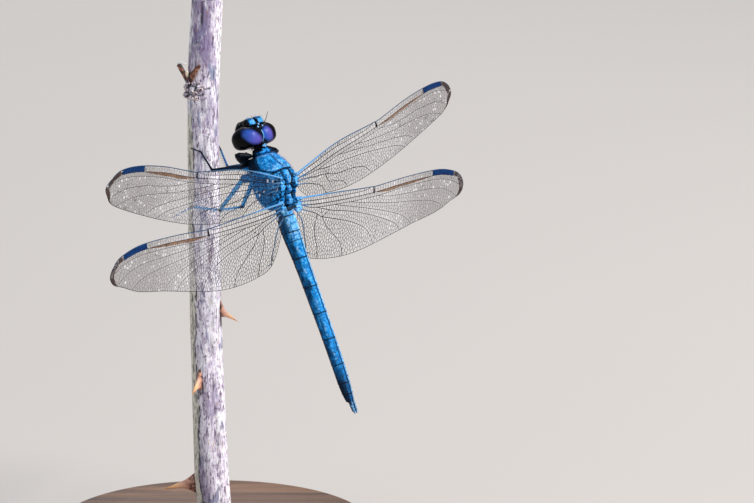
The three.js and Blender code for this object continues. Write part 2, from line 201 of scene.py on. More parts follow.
class Bench:
    """The modelling steps that all sub-assemblies share."""

    @staticmethod
    def clear() -> None:
        """Goes to object mode with nothing selected."""
        if bpy.context.object and bpy.context.object.mode != "OBJECT":
            bpy.ops.object.mode_set(mode="OBJECT")
        bpy.ops.object.select_all(action="DESELECT")

    @staticmethod
    def take(piece: Piece) -> Piece:
        """Makes one piece the selected and active one."""
        Bench.clear()
        piece.select_set(True)
        bpy.context.view_layer.objects.active = piece
        return piece

    @staticmethod
    def points(piece: Piece) -> Array:
        """The places of a piece's vertices."""
        flat = np.zeros(len(piece.data.vertices) * 3)
        piece.data.vertices.foreach_get("co", flat)
        return flat.reshape(-1, 3)

    @staticmethod
    def normals(piece: Piece) -> Array:
        """The directions in which a piece's vertices face."""
        flat = np.zeros(len(piece.data.vertices) * 3, np.float32)
        piece.data.vertex_normals.foreach_get("vector", flat)
        return flat.reshape(-1, 3).astype(float)

    @staticmethod
    def move(piece: Piece, places: Array) -> Piece:
        """Moves a piece's vertices to new places."""
        piece.data.vertices.foreach_set("co", np.ascontiguousarray(places, float).ravel())
        piece.data.update()
        return piece

    @staticmethod
    def paint(piece: Piece, **layers: Array) -> None:
        """Keeps named numbers for each vertex, which a finish reads by name."""
        for name, values in layers.items():
            layer = piece.data.attributes.get(name) or piece.data.attributes.new(name, "FLOAT", "POINT")
            layer.data.foreach_set("value", np.clip(values, 0, 1).astype(np.float32))

    @staticmethod
    def close(piece: Piece, fill: bool = True) -> Piece:
        """Merges doubled vertices, closes open ends and turns all faces outwards."""
        Bench.take(piece)
        bpy.ops.object.mode_set(mode="EDIT")
        bpy.ops.mesh.select_all(action="SELECT")
        bpy.ops.mesh.remove_doubles(threshold=MERGE)
        if fill:
            bpy.ops.mesh.fill_holes(sides=0)
        bpy.ops.mesh.select_all(action="SELECT")
        bpy.ops.mesh.normals_make_consistent(inside=False)
        bpy.ops.object.mode_set(mode="OBJECT")
        return piece

    @staticmethod
    def egg(name: str, form: Egg, segments: int = 40, rings: int = 28) -> Piece:
        """An egg-shaped solid."""
        Bench.clear()
        bpy.ops.mesh.primitive_uv_sphere_add(segments=segments, ring_count=rings, radius=1)
        piece = bpy.context.object
        piece.name = name
        return Bench.move(piece, form.shape(Bench.points(piece)))

    @staticmethod
    def tube(name: str, rings: int, sides: int, ring: Ring) -> Piece:
        """A closed body through a row of rings.

        Args:
            name: The piece's name.
            rings: How many rings it has.
            sides: How many sides each ring has.
            ring: Places points, given how far along each is, and its across and up on a unit circle.

        Returns:
            The closed piece.
        """
        Bench.clear()
        bpy.ops.mesh.primitive_grid_add(x_subdivisions=rings - 1, y_subdivisions=sides, size=2)
        piece = bpy.context.object
        piece.name = name
        flat = Bench.points(piece)
        turn = np.pi * flat[:, 1]
        Bench.move(piece, ring((1 + flat[:, 0]) / 2, np.sin(turn), np.cos(turn)))
        return Bench.close(piece)

    @staticmethod
    def sweep(name: str, path: Array, radii: Array, sides: int, round_ends: bool = True) -> Piece:
        """A tube along a line, with a radius at each of its points and its ends rounded over.

        Args:
            name: The piece's name.
            path: The points of the line.
            radii: The radius at each point.
            sides: How many sides the tube has.
            round_ends: Whether each end is rounded over.

        Returns:
            The closed piece.
        """
        path = np.asarray(path, float)
        radii = np.asarray(radii, float)
        if round_ends:
            arc = np.radians((89, 60, 30))
            first = path[0] + np.outer(np.sin(arc), unit(path[0] - path[1])) * radii[0]
            last = path[-1] + np.outer(np.sin(arc[::-1]), unit(path[-1] - path[-2])) * radii[-1]
            path = np.vstack([first, path, last])
            radii = np.concatenate([np.cos(arc) * radii[0], radii, np.cos(arc[::-1]) * radii[-1]])
        ways = unit(np.gradient(path, axis=0))
        side = np.cross(ways[0], (0.3, 0.1, 1.0))
        sideways = []
        for way in ways:
            side = unit(side - way * (side @ way))
            sideways.append(side)
        sideways = np.array(sideways)
        upwards = np.cross(ways, sideways)

        def ring(along: Array, across: Array, up: Array) -> Array:
            """Places the ring's points round the line."""
            k = np.rint(along * (len(path) - 1)).astype(int)
            return path[k] + radii[k, None] * (across[:, None] * sideways[k] + up[:, None] * upwards[k])

        return Bench.tube(name, len(path), sides, ring)

    @staticmethod
    def mesh(name: str, points: Array, faces: list[Sequence[int]]) -> Piece:
        """A piece made from points and faces worked out in code."""
        data = bpy.data.meshes.new(name)
        data.from_pydata([tuple(p) for p in points], [], [tuple(f) for f in faces])
        data.update()
        piece = bpy.data.objects.new(name, data)
        bpy.context.scene.collection.objects.link(piece)
        return piece

    @staticmethod
    def join(name: str, pieces: Sequence[Piece]) -> Piece:
        """Joins pieces into one."""
        Bench.take(pieces[0])
        for piece in pieces:
            piece.select_set(True)
        if len(pieces) > 1:
            bpy.ops.object.join()
        joined = bpy.context.object
        joined.name = name
        joined.data.name = name
        return joined

    @staticmethod
    def apply(piece: Piece, kind: str, **settings: object) -> Piece:
        """Adds a modifier with its settings and applies it."""
        Bench.take(piece)
        modifier = piece.modifiers.new(kind.title(), kind)
        for key, value in settings.items():
            setattr(modifier, key, value)
        bpy.ops.object.modifier_apply(modifier=modifier.name)
        return piece

    @staticmethod
    def hand_over(
        piece: Piece,
        finish: "Finish",
        slot: str,
        nodes: Sequence[str] = (),
        crease: float | None = None,
        matrix: Matrix | None = None,
    ) -> None:
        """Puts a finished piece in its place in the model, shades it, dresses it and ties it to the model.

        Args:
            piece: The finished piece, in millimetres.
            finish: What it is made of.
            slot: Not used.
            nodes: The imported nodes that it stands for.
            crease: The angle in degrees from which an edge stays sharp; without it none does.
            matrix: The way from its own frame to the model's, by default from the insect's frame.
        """
        piece.data.transform(matrix or POSE.matrix())
        piece.data.update()
        Bench.take(piece)
        if crease is None:
            bpy.ops.object.shade_smooth()
        else:
            bpy.ops.object.shade_smooth_by_angle(angle=math.radians(crease))
        piece.data.materials.clear()
        piece.data.materials.append(finish.material())
        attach(piece, "root")
        if nodes:
            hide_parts(*nodes)
        triangles = sum(len(face.vertices) - 2 for face in piece.data.polygons)
        log.info("%s: %d triangles", piece.name, triangles)


# ---- finishes


class Space(Enum):
    """The coordinates in which a pattern is laid out."""

    MODEL = "millimetres of the whole model"
    INSECT = "millimetres of the insect's own frame"


class Graph:
    """A material's nodes, added one at a time."""

    def __init__(self, name: str) -> None:
        """Starts a material with a lone shader."""
        self.material = bpy.data.materials.new(name)
        self.material.use_nodes = True
        self.tree = self.material.node_tree
        self.tree.nodes.clear()
        self.shader = self.add("ShaderNodeBsdfPrincipled")
        output = self.add("ShaderNodeOutputMaterial")
        self.tree.links.new(self.shader.outputs[0], output.inputs["Surface"])

    def add(
        self, kind: str, inputs: dict[str | int, object] | None = None, **settings: object
    ) -> bpy.types.Node:
        """Adds a node.

        Args:
            kind: The node's type.
            inputs: A value, or the output that feeds it, for each named or numbered input.
            **settings: The node's own settings.

        Returns:
            The node.
        """
        node = self.tree.nodes.new(kind)
        for key, value in settings.items():
            setattr(node, key, value)
        for key, value in (inputs or {}).items():
            if isinstance(value, Socket):
                self.tree.links.new(value, node.inputs[key])
            else:
                node.inputs[key].default_value = value
        return node

    def set(self, **values: object) -> None:
        """Sets or feeds the shader's sockets, by name with _ for a space."""
        for key, value in values.items():
            socket = self.shader.inputs[key.replace("_", " ")]
            if isinstance(value, Socket):
                self.tree.links.new(value, socket)
            else:
                socket.default_value = value

    def coordinates(self, space: Space, stretch: Point = (1, 1, 1)) -> Socket:
        """Places in millimetres, divided by a stretch along each axis."""
        place = self.add("ShaderNodeTexCoord").outputs["Object"]
        if space is Space.INSECT:
            fixed = {"Vector": place, "Scale": (MM, MM, MM)}
            fixed["Location"] = Vector(POSE.place) * MM
            fixed["Rotation"] = POSE.turns()
            place = self.add("ShaderNodeMapping", fixed, vector_type="TEXTURE").outputs[0]
            scale = [1 / s for s in stretch]
        else:
            scale = [1 / (MM * s) for s in stretch]
        if space is Space.INSECT and tuple(stretch) == (1, 1, 1):
            return place
        return self.add("ShaderNodeMapping", {"Vector": place, "Scale": scale}).outputs[0]

    def noise(
        self, place: Socket, scale: float, detail: float = 3.0, rough: float = 0.55, warp: float = 0.0
    ) -> Socket:
        """Soft noise from 0 to 1."""
        inputs = {"Vector": place, "Scale": scale, "Detail": detail, "Roughness": rough, "Distortion": warp}
        return self.add("ShaderNodeTexNoise", inputs).outputs["Fac"]

    def maths(self, way: str, *values: object) -> Socket:
        """One sum on numbers or outputs."""
        return self.add("ShaderNodeMath", dict(enumerate(values)), operation=way).outputs[0]

    def plus(self, first: object, second: object) -> Socket:
        """The sum of two numbers or outputs."""
        return self.maths("ADD", first, second)

    def times(self, first: object, second: object) -> Socket:
        """The product of two numbers or outputs."""
        return self.maths("MULTIPLY", first, second)

    def ramp(self, value: Socket, stops: Stops) -> Socket:
        """A colour looked up along a row of stops."""
        node = self.add("ShaderNodeValToRGB", {"Fac": value})
        elements = node.color_ramp.elements
        while len(elements) < len(stops):
            elements.new(1.0)
        for element, (position, colour) in zip(elements, stops):
            element.position = position
            element.color = (*colour, 1)
        return node.outputs["Color"]

    def span(
        self, value: Socket, low: float, high: float, to_low: float = 0.0, to_high: float = 1.0
    ) -> Socket:
        """Maps one range of numbers onto another, and stops at its ends."""
        inputs = {"Value": value, "From Min": low, "From Max": high, "To Min": to_low, "To Max": to_high}
        return self.add("ShaderNodeMapRange", inputs).outputs["Result"]

    def mix(self, share: object, first: object, second: object) -> Socket:
        """Mixes two colours."""
        inputs = {0: share}
        for index, colour in ((6, first), (7, second)):
            inputs[index] = colour if isinstance(colour, Socket) else (*colour, 1)
        return self.add("ShaderNodeMix", inputs, data_type="RGBA").outputs[2]

    def painted(self, name: str) -> Socket:
        """A number kept for each vertex of the piece."""
        return self.add("ShaderNodeAttribute", attribute_name=name).outputs["Fac"]

    def bump(self, height: Socket, strength: float, depth: float) -> None:
        """Feeds the shader fine relief, with its depth in millimetres."""
        inputs = {"Height": height, "Strength": strength, "Distance": depth * MM}
        self.set(Normal=self.add("ShaderNodeBump", inputs).outputs[0])


_MADE: dict[str, bpy.types.Material] = {}


@dataclass(frozen=True)
class Finish:
    """A finish, made once and shared by the pieces that wear it."""

    name: str

    def material(self) -> bpy.types.Material:
        """The finish as a material."""
        if self.name not in _MADE:
            graph = Graph(self.name)
            self.mix_up(graph)
            _MADE[self.name] = graph.material
        return _MADE[self.name]

    def mix_up(self, graph: Graph) -> None:
        """Adds the finish's own nodes."""
        raise NotImplementedError


@dataclass(frozen=True)
class Cuticle(Finish):
    """Dark shell under a blue bloom.

    A piece's vertices carry four numbers: bloom, from bare black to chalky blue, kept low under the abdomen
    as painted shade; pale, where the bloom has gathered almost white, and painted highlights; dark, in seams
    and grooves, with painted shade in hollow places, under the abdomen and on its left flank; and warm, where
    brown membrane shows.
    """

    name: str = "bloomed_cuticle"
    mottle: float = 0.42
    black: Colour = (0.0015, 0.002, 0.006)
    white: Colour = (0.3, 0.58, 0.86)
    brown: Colour = (0.32, 0.12, 0.035)
    blues: Stops = (
        (0.0, (0.002, 0.003, 0.005)),
        (0.16, (0.002, 0.008, 0.02)),
        (0.34, (0.001, 0.034, 0.11)),
        (0.52, (0.002, 0.095, 0.28)),
        (0.7, (0.003, 0.18, 0.52)),
        (0.85, (0.01, 0.26, 0.7)),
        (1.0, (0.08, 0.42, 0.84)),
    )

    def mix_up(self, graph: Graph) -> None:
        """Adds mottling, seams and fine relief."""
        place = graph.coordinates(Space.INSECT)
        patches = graph.noise(place, 2.0, 5, 0.66, 0.6)
        fine = graph.noise(place, 6.0, 4, 0.62)
        dust = graph.noise(place, 26.0, 2, 0.5)
        spots = graph.noise(place, 3.1, 2, 0.5)
        uneven = graph.plus(patches, graph.times(fine, 0.9))
        uneven = graph.plus(uneven, graph.times(spots, 1.3))
        uneven = graph.times(graph.maths("SUBTRACT", uneven, 1.56), self.mottle * 1.6)
        bloom = graph.painted("bloom")
        bloom = graph.plus(bloom, graph.times(uneven, graph.times(bloom, 1.3)))
        colour = graph.ramp(bloom, self.blues)
        pale = graph.times(graph.painted("pale"), graph.span(spots, 0.42, 0.6, 0.1, 1.0))
        colour = graph.mix(pale, colour, self.white)
        colour = graph.mix(graph.painted("warm"), colour, self.brown)
        specks = graph.times(graph.span(fine, 0.43, 0.35, 0.0, 0.85), graph.span(bloom, 0.95, 0.65))
        colour = graph.mix(graph.maths("MAXIMUM", graph.painted("dark"), specks), colour, self.black)
        rough = graph.span(bloom, 0.1, 0.8, 0.28, 0.6)
        graph.set(Base_Color=colour, Roughness=rough, Specular_IOR_Level=0.08)
        relief = graph.plus(graph.times(fine, 0.7), graph.times(dust, 0.5))
        graph.bump(relief, 0.5, 0.05)


@dataclass(frozen=True)
class EyeShell(Finish):
    """Polished black facets with a painted violet-blue reflection on top.

    The painted reflection is an oval with its centre, its two half axes and the way from its blue end to its
    violet end.
    """

    name: str = "eye_shell"
    centre: Triple = (14.14, 2.72, 0.6)
    along: Triple = (-0.36, -0.27, 0.255)
    across: Triple = (0.66, -0.43, 0.47)
    black: Colour = (0.001, 0.001, 0.002)
    blue: Colour = (0.025, 0.085, 0.4)
    violet: Colour = (0.1, 0.07, 0.36)

    def mix_up(self, graph: Graph) -> None:
        """Adds the painted reflection and the fine facets."""
        place = graph.coordinates(Space.INSECT)
        offset = {0: place, 1: self.centre}
        middle = graph.add("ShaderNodeVectorMath", offset, operation="SUBTRACT").outputs[0]
        parts = [
            graph.add("ShaderNodeVectorMath", {0: middle, 1: axis}, operation="DOT_PRODUCT").outputs["Value"]
            for axis in (self.along, self.across)
        ]
        squares = [graph.times(part, part) for part in parts]
        reach = graph.maths("SQRT", graph.plus(*squares))
        soft = graph.maths("SUBTRACT", graph.noise(place, 1.3, 2), 0.5)
        reach = graph.plus(reach, graph.times(soft, 0.2))
        painted_reflection = graph.add(
            "ShaderNodeMapRange",
            {"Value": reach, "From Min": 1.18, "From Max": 0.62},
            interpolation_type="SMOOTHSTEP",
        ).outputs["Result"]
        # The painted reflection runs from blue to violet along the oval.
        tone = graph.mix(graph.span(parts[0], -0.5, 0.9), self.blue, self.violet)
        colour = graph.mix(painted_reflection, self.black, tone)
        graph.set(Base_Color=colour, Roughness=0.27, IOR=1.5, Specular_IOR_Level=0.09)
        facets = graph.add("ShaderNodeTexVoronoi", {"Vector": place, "Scale": 14.0}).outputs["Distance"]
        graph.bump(facets, 0.12, 0.02)


@dataclass(frozen=True)
class Film(Finish):
    """Clear or smoky wing film, whose vertices carry a haze that greys its outer part and a painted glint on
    some cells.
    """

    name: str = "clear_film"
    colour: Colour = (0.72, 0.69, 0.82)
    blotch: Colour = (0.95, 0.94, 1.0)
    hazy: Colour = (0.25, 0.24, 0.245)
    alphas: Triple = (0.004, 0.045, 0.36)
    rough: float = 0.22
    glint: Colour = (0.95, 0.95, 1.0)

    def mix_up(self, graph: Graph) -> None:
        """Adds faint clouding, the haze and the painted glints."""
        place = graph.coordinates(Space.INSECT)
        cloud = graph.noise(place, 0.6, 3)
        colour = graph.mix(graph.span(cloud, 0.35, 0.65), self.colour, self.blotch)
        haze = graph.painted("haze")
        colour = graph.mix(haze, colour, self.hazy)
        clear, milky, thick = self.alphas
        alpha = graph.span(haze, 0.0, 0.35, clear, milky)
        alpha = graph.plus(alpha, graph.span(haze, 0.35, 1.0, 0.0, thick - milky))
        glint = graph.painted("glint")
        alpha = graph.plus(alpha, graph.times(glint, 0.3))
        colour = graph.mix(glint, colour, self.glint)
        graph.set(Base_Color=colour, Roughness=self.rough, Alpha=alpha, IOR=1.57, Specular_IOR_Level=0.3)


SMOKE = Film(
    "smoky_film",
    colour=(0.022, 0.009, 0.009),
    blotch=(0.045, 0.02, 0.016),
    hazy=(0.02, 0.01, 0.01),
    alphas=(0.8, 0.8, 0.8),
    rough=0.4,
)
AMBER = Film(
    "amber_film",
    colour=(0.13, 0.045, 0.008),
    blotch=(0.3, 0.13, 0.03),
    hazy=(0.1, 0.05, 0.03),
    alphas=(0.62, 0.62, 0.62),
    rough=0.3,
)


@dataclass(frozen=True)
class Vein(Finish):
    """Wing veins: near black, with blue bloom where the vertices' pale number says."""

    name: str = "wing_vein"
    dark: Colour = (0.002, 0.004, 0.014)
    brown: Colour = (0.014, 0.007, 0.008)
    bloom: Colour = (0.11, 0.3, 0.58)
    hazy: Colour = (0.13, 0.115, 0.12)

    def mix_up(self, graph: Graph) -> None:
        """Adds brown patches, the bloom and the haze of the outer part."""
        place = graph.coordinates(Space.INSECT)
        colour = graph.mix(graph.span(graph.noise(place, 0.7), 0.4, 0.65), self.dark, self.brown)
        colour = graph.mix(graph.painted("haze"), colour, self.hazy)
        colour = graph.mix(graph.painted("pale"), colour, self.bloom)
        graph.set(Base_Color=colour, Roughness=0.4, Specular_IOR_Level=0.12)


@dataclass(frozen=True)
class Stain(Finish):
    """A smooth, slightly uneven coat in two colours, such as a wing spot or a claw."""

    name: str = "stigma"
    first: Colour = (0.0005, 0.012, 0.06)
    second: Colour = (0.001, 0.03, 0.125)
    rough: float = 0.4
    scale: float = 2.5
    depth: float = 0.03
    space: Space = Space.INSECT

    def mix_up(self, graph: Graph) -> None:
        """Adds the second colour and fine relief."""
        place = graph.coordinates(self.space)
        cloud = graph.noise(place, self.scale, 4)
        colour = graph.mix(graph.span(cloud, 0.35, 0.65), self.first, self.second)
        graph.set(Base_Color=colour, Roughness=self.rough, Specular_IOR_Level=0.1)
        graph.bump(graph.noise(place, self.scale * 6, 3), 0.4, self.depth)


@dataclass(frozen=True)
class Bark(Finish):
    """Weathered cane bark: pale lilac wax in long streaks over purple-brown skin, with dark cracks and
    painted shadows below the thorns.
    """

    name: str = "cane_bark"
    wax: Colour = (0.64, 0.58, 0.73)
    dusk: Colour = (0.2, 0.15, 0.3)
    bright: Colour = (0.93, 0.92, 0.98)
    skin: Colour = (0.13, 0.075, 0.15)
    rust: Colour = (0.4, 0.2, 0.12)
    slate: Colour = (0.15, 0.19, 0.32)
    crack: Colour = (0.012, 0.01, 0.022)
    algae: Colour = (0.72, 0.69, 0.6)

    def mix_up(self, graph: Graph) -> None:
        """Adds streaks, flecks, cracks, painted shadows below the thorns, knots and the weathered side."""
        place = graph.coordinates(Space.MODEL)
        short = graph.coordinates(Space.MODEL, (1, 1, 2.8))
        long = graph.coordinates(Space.MODEL, (1, 1, 4.5))
        longer = graph.coordinates(Space.MODEL, (1, 1, 10))
        streaks = graph.noise(long, 1.15, 6, 0.7, 0.6)
        flecks = graph.noise(short, 2.3, 5, 0.7, 0.4)
        fibres = graph.noise(longer, 3.6, 4, 0.62, 0.3)
        flakes = graph.noise(place, 0.9, 5, 0.6)
        patches = graph.noise(graph.coordinates(Space.MODEL, (1, 1, 4)), 0.62, 4, 0.6, 0.6)
        colour = graph.mix(graph.span(streaks, 0.39, 0.5), self.skin, self.wax)
        gloss = graph.times(graph.span(fibres, 0.42, 0.54), graph.span(flakes, 0.36, 0.54))
        colour = graph.mix(gloss, colour, self.bright)
        broad = graph.noise(graph.coordinates(Space.MODEL, (1, 1, 3)), 0.3, 3, 0.6, 0.5)
        colour = graph.mix(graph.span(broad, 0.5, 0.6, 0.0, 0.8), colour, self.bright)
        colour = graph.mix(graph.span(broad, 0.46, 0.38, 0.0, 0.55), colour, self.dusk)
        colour = graph.mix(graph.span(patches, 0.58, 0.63, 0.0, 0.8), colour, self.slate)
        dusky = graph.times(graph.painted("dusk"), graph.span(streaks, 0.6, 0.5, 0.15, 1.0))
        colour = graph.mix(dusky, colour, self.dusk)
        colour = graph.mix(graph.span(flecks, 0.55, 0.6, 0.0, 0.92), colour, self.skin)
        colour = graph.mix(graph.span(flecks, 0.4, 0.35, 0.0, 0.75), colour, self.rust)
        weathered = graph.mix(graph.span(flecks, 0.48, 0.62), self.algae, (0.27, 0.26, 0.24))
        colour = graph.mix(graph.painted("algae"), colour, weathered)
        # The painted dark number holds the cracks and the painted shadow below each thorn.
        groove = graph.times(graph.painted("dark"), graph.span(flecks, 0.35, 0.5, 0.45, 1.0))
        dark = graph.maths("MAXIMUM", groove, graph.span(fibres, 0.37, 0.33, 0.0, 0.9))
        colour = graph.mix(dark, colour, self.crack)
        graph.set(Base_Color=colour, Roughness=0.72)
        relief = graph.plus(graph.times(fibres, 0.8), graph.times(flecks, 0.6))
        graph.bump(relief, 0.8, 0.14)


@dataclass(frozen=True)
class ScarCork(Finish):
    """Crumbled cork over an old wound: black clefts between cream, rust and lilac crumbs."""

    name: str = "scar_cork"

    def mix_up(self, graph: Graph) -> None:
        """Adds the crumbs and their relief."""
        place = graph.coordinates(Space.MODEL)
        crumbs = graph.noise(place, 2.3, 4, 0.7, 0.5)
        stops = (
            (0.42, (0.008, 0.007, 0.012)),
            (0.48, (0.12, 0.07, 0.14)),
            (0.52, (0.5, 0.45, 0.56)),
            (0.57, (0.9, 0.88, 0.86)),
            (0.63, (0.55, 0.22, 0.06)),
        )
        graph.set(Base_Color=graph.ramp(crumbs, stops), Roughness=0.8)
        graph.bump(crumbs, 0.9, 0.2)


@dataclass(frozen=True)
class ThornWood(Finish):
    """Salmon-brown thorn, darker at its root and paler at its hooked edge."""

    name: str = "thorn_wood"
    stops: Stops = (
        (0.0, (0.05, 0.02, 0.015)),
        (0.1, (0.5, 0.24, 0.17)),
        (0.3, (0.74, 0.42, 0.3)),
        (0.65, (0.86, 0.5, 0.26)),
        (1.0, (0.6, 0.24, 0.08)),
    )

    def mix_up(self, graph: Graph) -> None:
        """Adds the shift from root to tip and fine grain."""
        place = graph.coordinates(Space.MODEL)
        tip = graph.painted("tip")
        spread = graph.plus(tip, graph.span(graph.noise(place, 1.6, 4), 0.3, 0.7, -0.12, 0.12))
        graph.set(Base_Color=graph.ramp(spread, self.stops), Roughness=0.48)
        graph.bump(graph.noise(place, 9.0, 3), 0.35, 0.05)


@dataclass(frozen=True)
class Walnut(Finish):
    """Oiled walnut with its grain running across the disc."""

    name: str = "oiled_walnut"

    def mix_up(self, graph: Graph) -> None:
        """Adds growth bands, pores and a satin coat."""
        along = graph.coordinates(Space.MODEL, (14, 1, 3))
        bands = graph.noise(along, 0.22, 4, 0.6, 1.2)
        pores = graph.noise(graph.coordinates(Space.MODEL, (9, 0.7, 0.7)), 2.4, 3, 0.6)
        stops = ((0.3, (0.045, 0.02, 0.011)), (0.48, (0.12, 0.055, 0.027)), (0.62, (0.2, 0.1, 0.05)))
        colour = graph.ramp(bands, stops)
        colour = graph.mix(graph.span(pores, 0.36, 0.3, 0.0, 0.7), colour, (0.02, 0.009, 0.005))
        graph.set(Base_Color=colour, Roughness=graph.span(pores, 0.3, 0.6, 0.46, 0.3))
        graph.bump(pores, 0.35, 0.05)


@dataclass(frozen=True)
class BrushedSteel(Finish):
    """Fine-turned stainless steel."""

    name: str = "turned_steel"

    def mix_up(self, graph: Graph) -> None:
        """Adds fine rings round the rod."""
        rings = graph.noise(graph.coordinates(Space.MODEL, (40, 40, 0.12)), 1.0, 3, 0.6)
        colour = graph.mix(rings, (0.5, 0.52, 0.54), (0.72, 0.73, 0.75))
        graph.set(Base_Color=colour, Metallic=1.0, Roughness=graph.span(rings, 0.3, 0.7, 0.22, 0.36))
        graph.bump(rings, 0.2, 0.02)


# ---- studio


@dataclass
class Studio:
    """The plain floor, the soft lights and the camera."""

    floor_size: float = 12.0
    elevation: float = 12.0
    distance: float = 0.7
    aim_right: float = 0.014638
    aim_up: float = -0.005822
    lens: float = 203.2
    sensor: float = 36.0
    reach: tuple[float, float] = (0.05, 50.0)
    sky: Colour = (0.85, 0.88, 0.95)
    sky_strength: float = 0.3

    def build(self) -> None:
        """Makes the floor, the lights and the camera."""
        self.make_floor()
        self.light("key_softbox", (1.0, -0.42, 0.85), 0.4, 25.0, (1.0, 0.97, 0.94))
        self.light("fill_softbox", (-0.9, -0.9, 0.5), 0.9, 4.6, (0.9, 0.95, 1.0))
        self.light("back_softbox", (-0.2, 0.9, 0.9), 0.6, 6.0, (1.0, 1.0, 1.0))
        self.make_sky()
        self.make_camera()

    def make_floor(self) -> None:
        """A wide pale floor under the stand."""
        Bench.clear()
        bpy.ops.mesh.primitive_plane_add(size=self.floor_size)
        floor = bpy.context.object
        floor.name = "floor"
        graph = Graph("pale_floor")
        place = graph.add("ShaderNodeTexCoord").outputs["Object"]
        tone = graph.noise(place, 3.0, 2)
        graph.set(Base_Color=graph.mix(tone, (0.5, 0.475, 0.455), (0.53, 0.505, 0.485)), Roughness=0.9)
        floor.data.materials.append(graph.material)

    def light(self, name: str, place: Point, size: float, watts: float, colour: Colour) -> None:
        """A square soft light that faces the insect."""
        data = bpy.data.lights.new(name, "AREA")
        data.size = size
        data.energy = watts
        data.color = colour
        lamp = bpy.data.objects.new(name, data)
        lamp.location = place
        lamp.rotation_euler = (Vector(POSE.place) * MM - Vector(place)).to_track_quat("-Z", "Y").to_euler()
        bpy.context.scene.collection.objects.link(lamp)

    def make_sky(self) -> None:
        """An even pale surround."""
        world = bpy.data.worlds.new("surround")
        world.use_nodes = True
        background = world.node_tree.nodes["Background"]
        background.inputs["Color"].default_value = (*self.sky, 1)
        background.inputs["Strength"].default_value = self.sky_strength
        bpy.context.scene.world = world
        bpy.context.scene.view_settings.view_transform = "Standard"

    def make_camera(self) -> None:
        """A long lens a little above the insect, turned to frame the whole perch."""
        rise = math.radians(self.elevation)
        insect = Vector(POSE.place) * MM
        level_up = Vector((0, math.sin(rise), math.cos(rise)))
        place = insect + Vector((0, -math.cos(rise), math.sin(rise))) * self.distance
        target = insect + Vector((self.aim_right, 0, 0)) + level_up * self.aim_up
        ahead = (target - place).normalized()
        right = ahead.cross(level_up).normalized()
        up = right.cross(ahead)
        data = bpy.data.cameras.new("camera")
        data.lens = self.lens
        data.sensor_width = self.sensor
        data.clip_start, data.clip_end = self.reach
        camera = bpy.data.objects.new("camera", data)
        turned = Matrix((right, up, -ahead)).transposed().to_4x4()
        camera.matrix_world = Matrix.Translation(place) @ turned
        bpy.context.scene.collection.objects.link(camera)
        bpy.context.scene.camera = camera


# ---- stand and cane


@dataclass
class Stand:
    """A turned walnut disc and a short steel rod, in millimetres."""

    radius: float = 27.0
    height: float = 5.0
    bevel: float = 1.2
    rod_radius: float = 1.1
    rod_top: float = 13.0
    rod_x: float = -0.02
    sides: int = 160

    def build(self) -> None:
        """Makes both pieces."""
        self.make_disc()
        self.make_rod()

    def outline(self) -> Array:
        """The disc's profile: radius and height from the underside's middle to the top's."""
        arc = np.radians(np.linspace(0, 90, 7))
        top = [
            (self.radius - self.bevel * (1 - math.cos(a)), self.height - self.bevel * (1 - math.sin(a)))
            for a in arc
        ]
        foot = [(self.radius - 0.6, 0.0), (self.radius - 0.15, 0.12), (self.radius, 0.6)]
        groove = self.radius - 0.35
        waist = [(self.radius, 1.55), (groove, 1.7), (groove, 2.0), (self.radius, 2.15)]
        inner = [(r, self.height) for r in (20.0, 12.0, 4.0)]
        return np.array([(0.0, 0.0), *foot, *waist, *top, *inner, (0.0, self.height)])

    def make_disc(self) -> None:
        """The walnut disc, with a fine line turned in its edge."""
        profile = self.outline()

        def ring(along: Array, across: Array, up: Array) -> Array:
            """Places the profile's points round the axis."""
            radius, height = profile[np.rint(along * (len(profile) - 1)).astype(int)].T
            return np.column_stack([radius * across, radius * up, height])

        disc = Bench.tube("walnut_disc", len(profile), self.sides, ring)
        Bench.hand_over(disc, Walnut(), "stand_wood", ["stand_base"], 28, SHRINK)

    def make_rod(self) -> None:
        """The steel rod, with its ends eased."""
        Bench.clear()
        length = self.rod_top - self.height
        bpy.ops.mesh.primitive_cylinder_add(vertices=64, radius=self.rod_radius, depth=length)
        rod = bpy.context.object
        rod.name = "steel_rod"
        rod.data.transform(Matrix.Translation((self.rod_x, 0, self.height + length / 2)))
        Bench.apply(rod, "BEVEL", width=0.08, segments=3, limit_method="ANGLE", angle_limit=math.radians(60))
        Bench.hand_over(rod, BrushedSteel(), "stand_steel", ["stand_rod"], 40, SHRINK)


@dataclass(frozen=True)
class Thorn:
    """A hooked thorn: its place, how far it stands out and drops, and how far its root runs up and down."""

    angle: float
    height: float
    reach: float
    drop: float
    tall: float
    wide: float
    upwards: float
    downwards: float


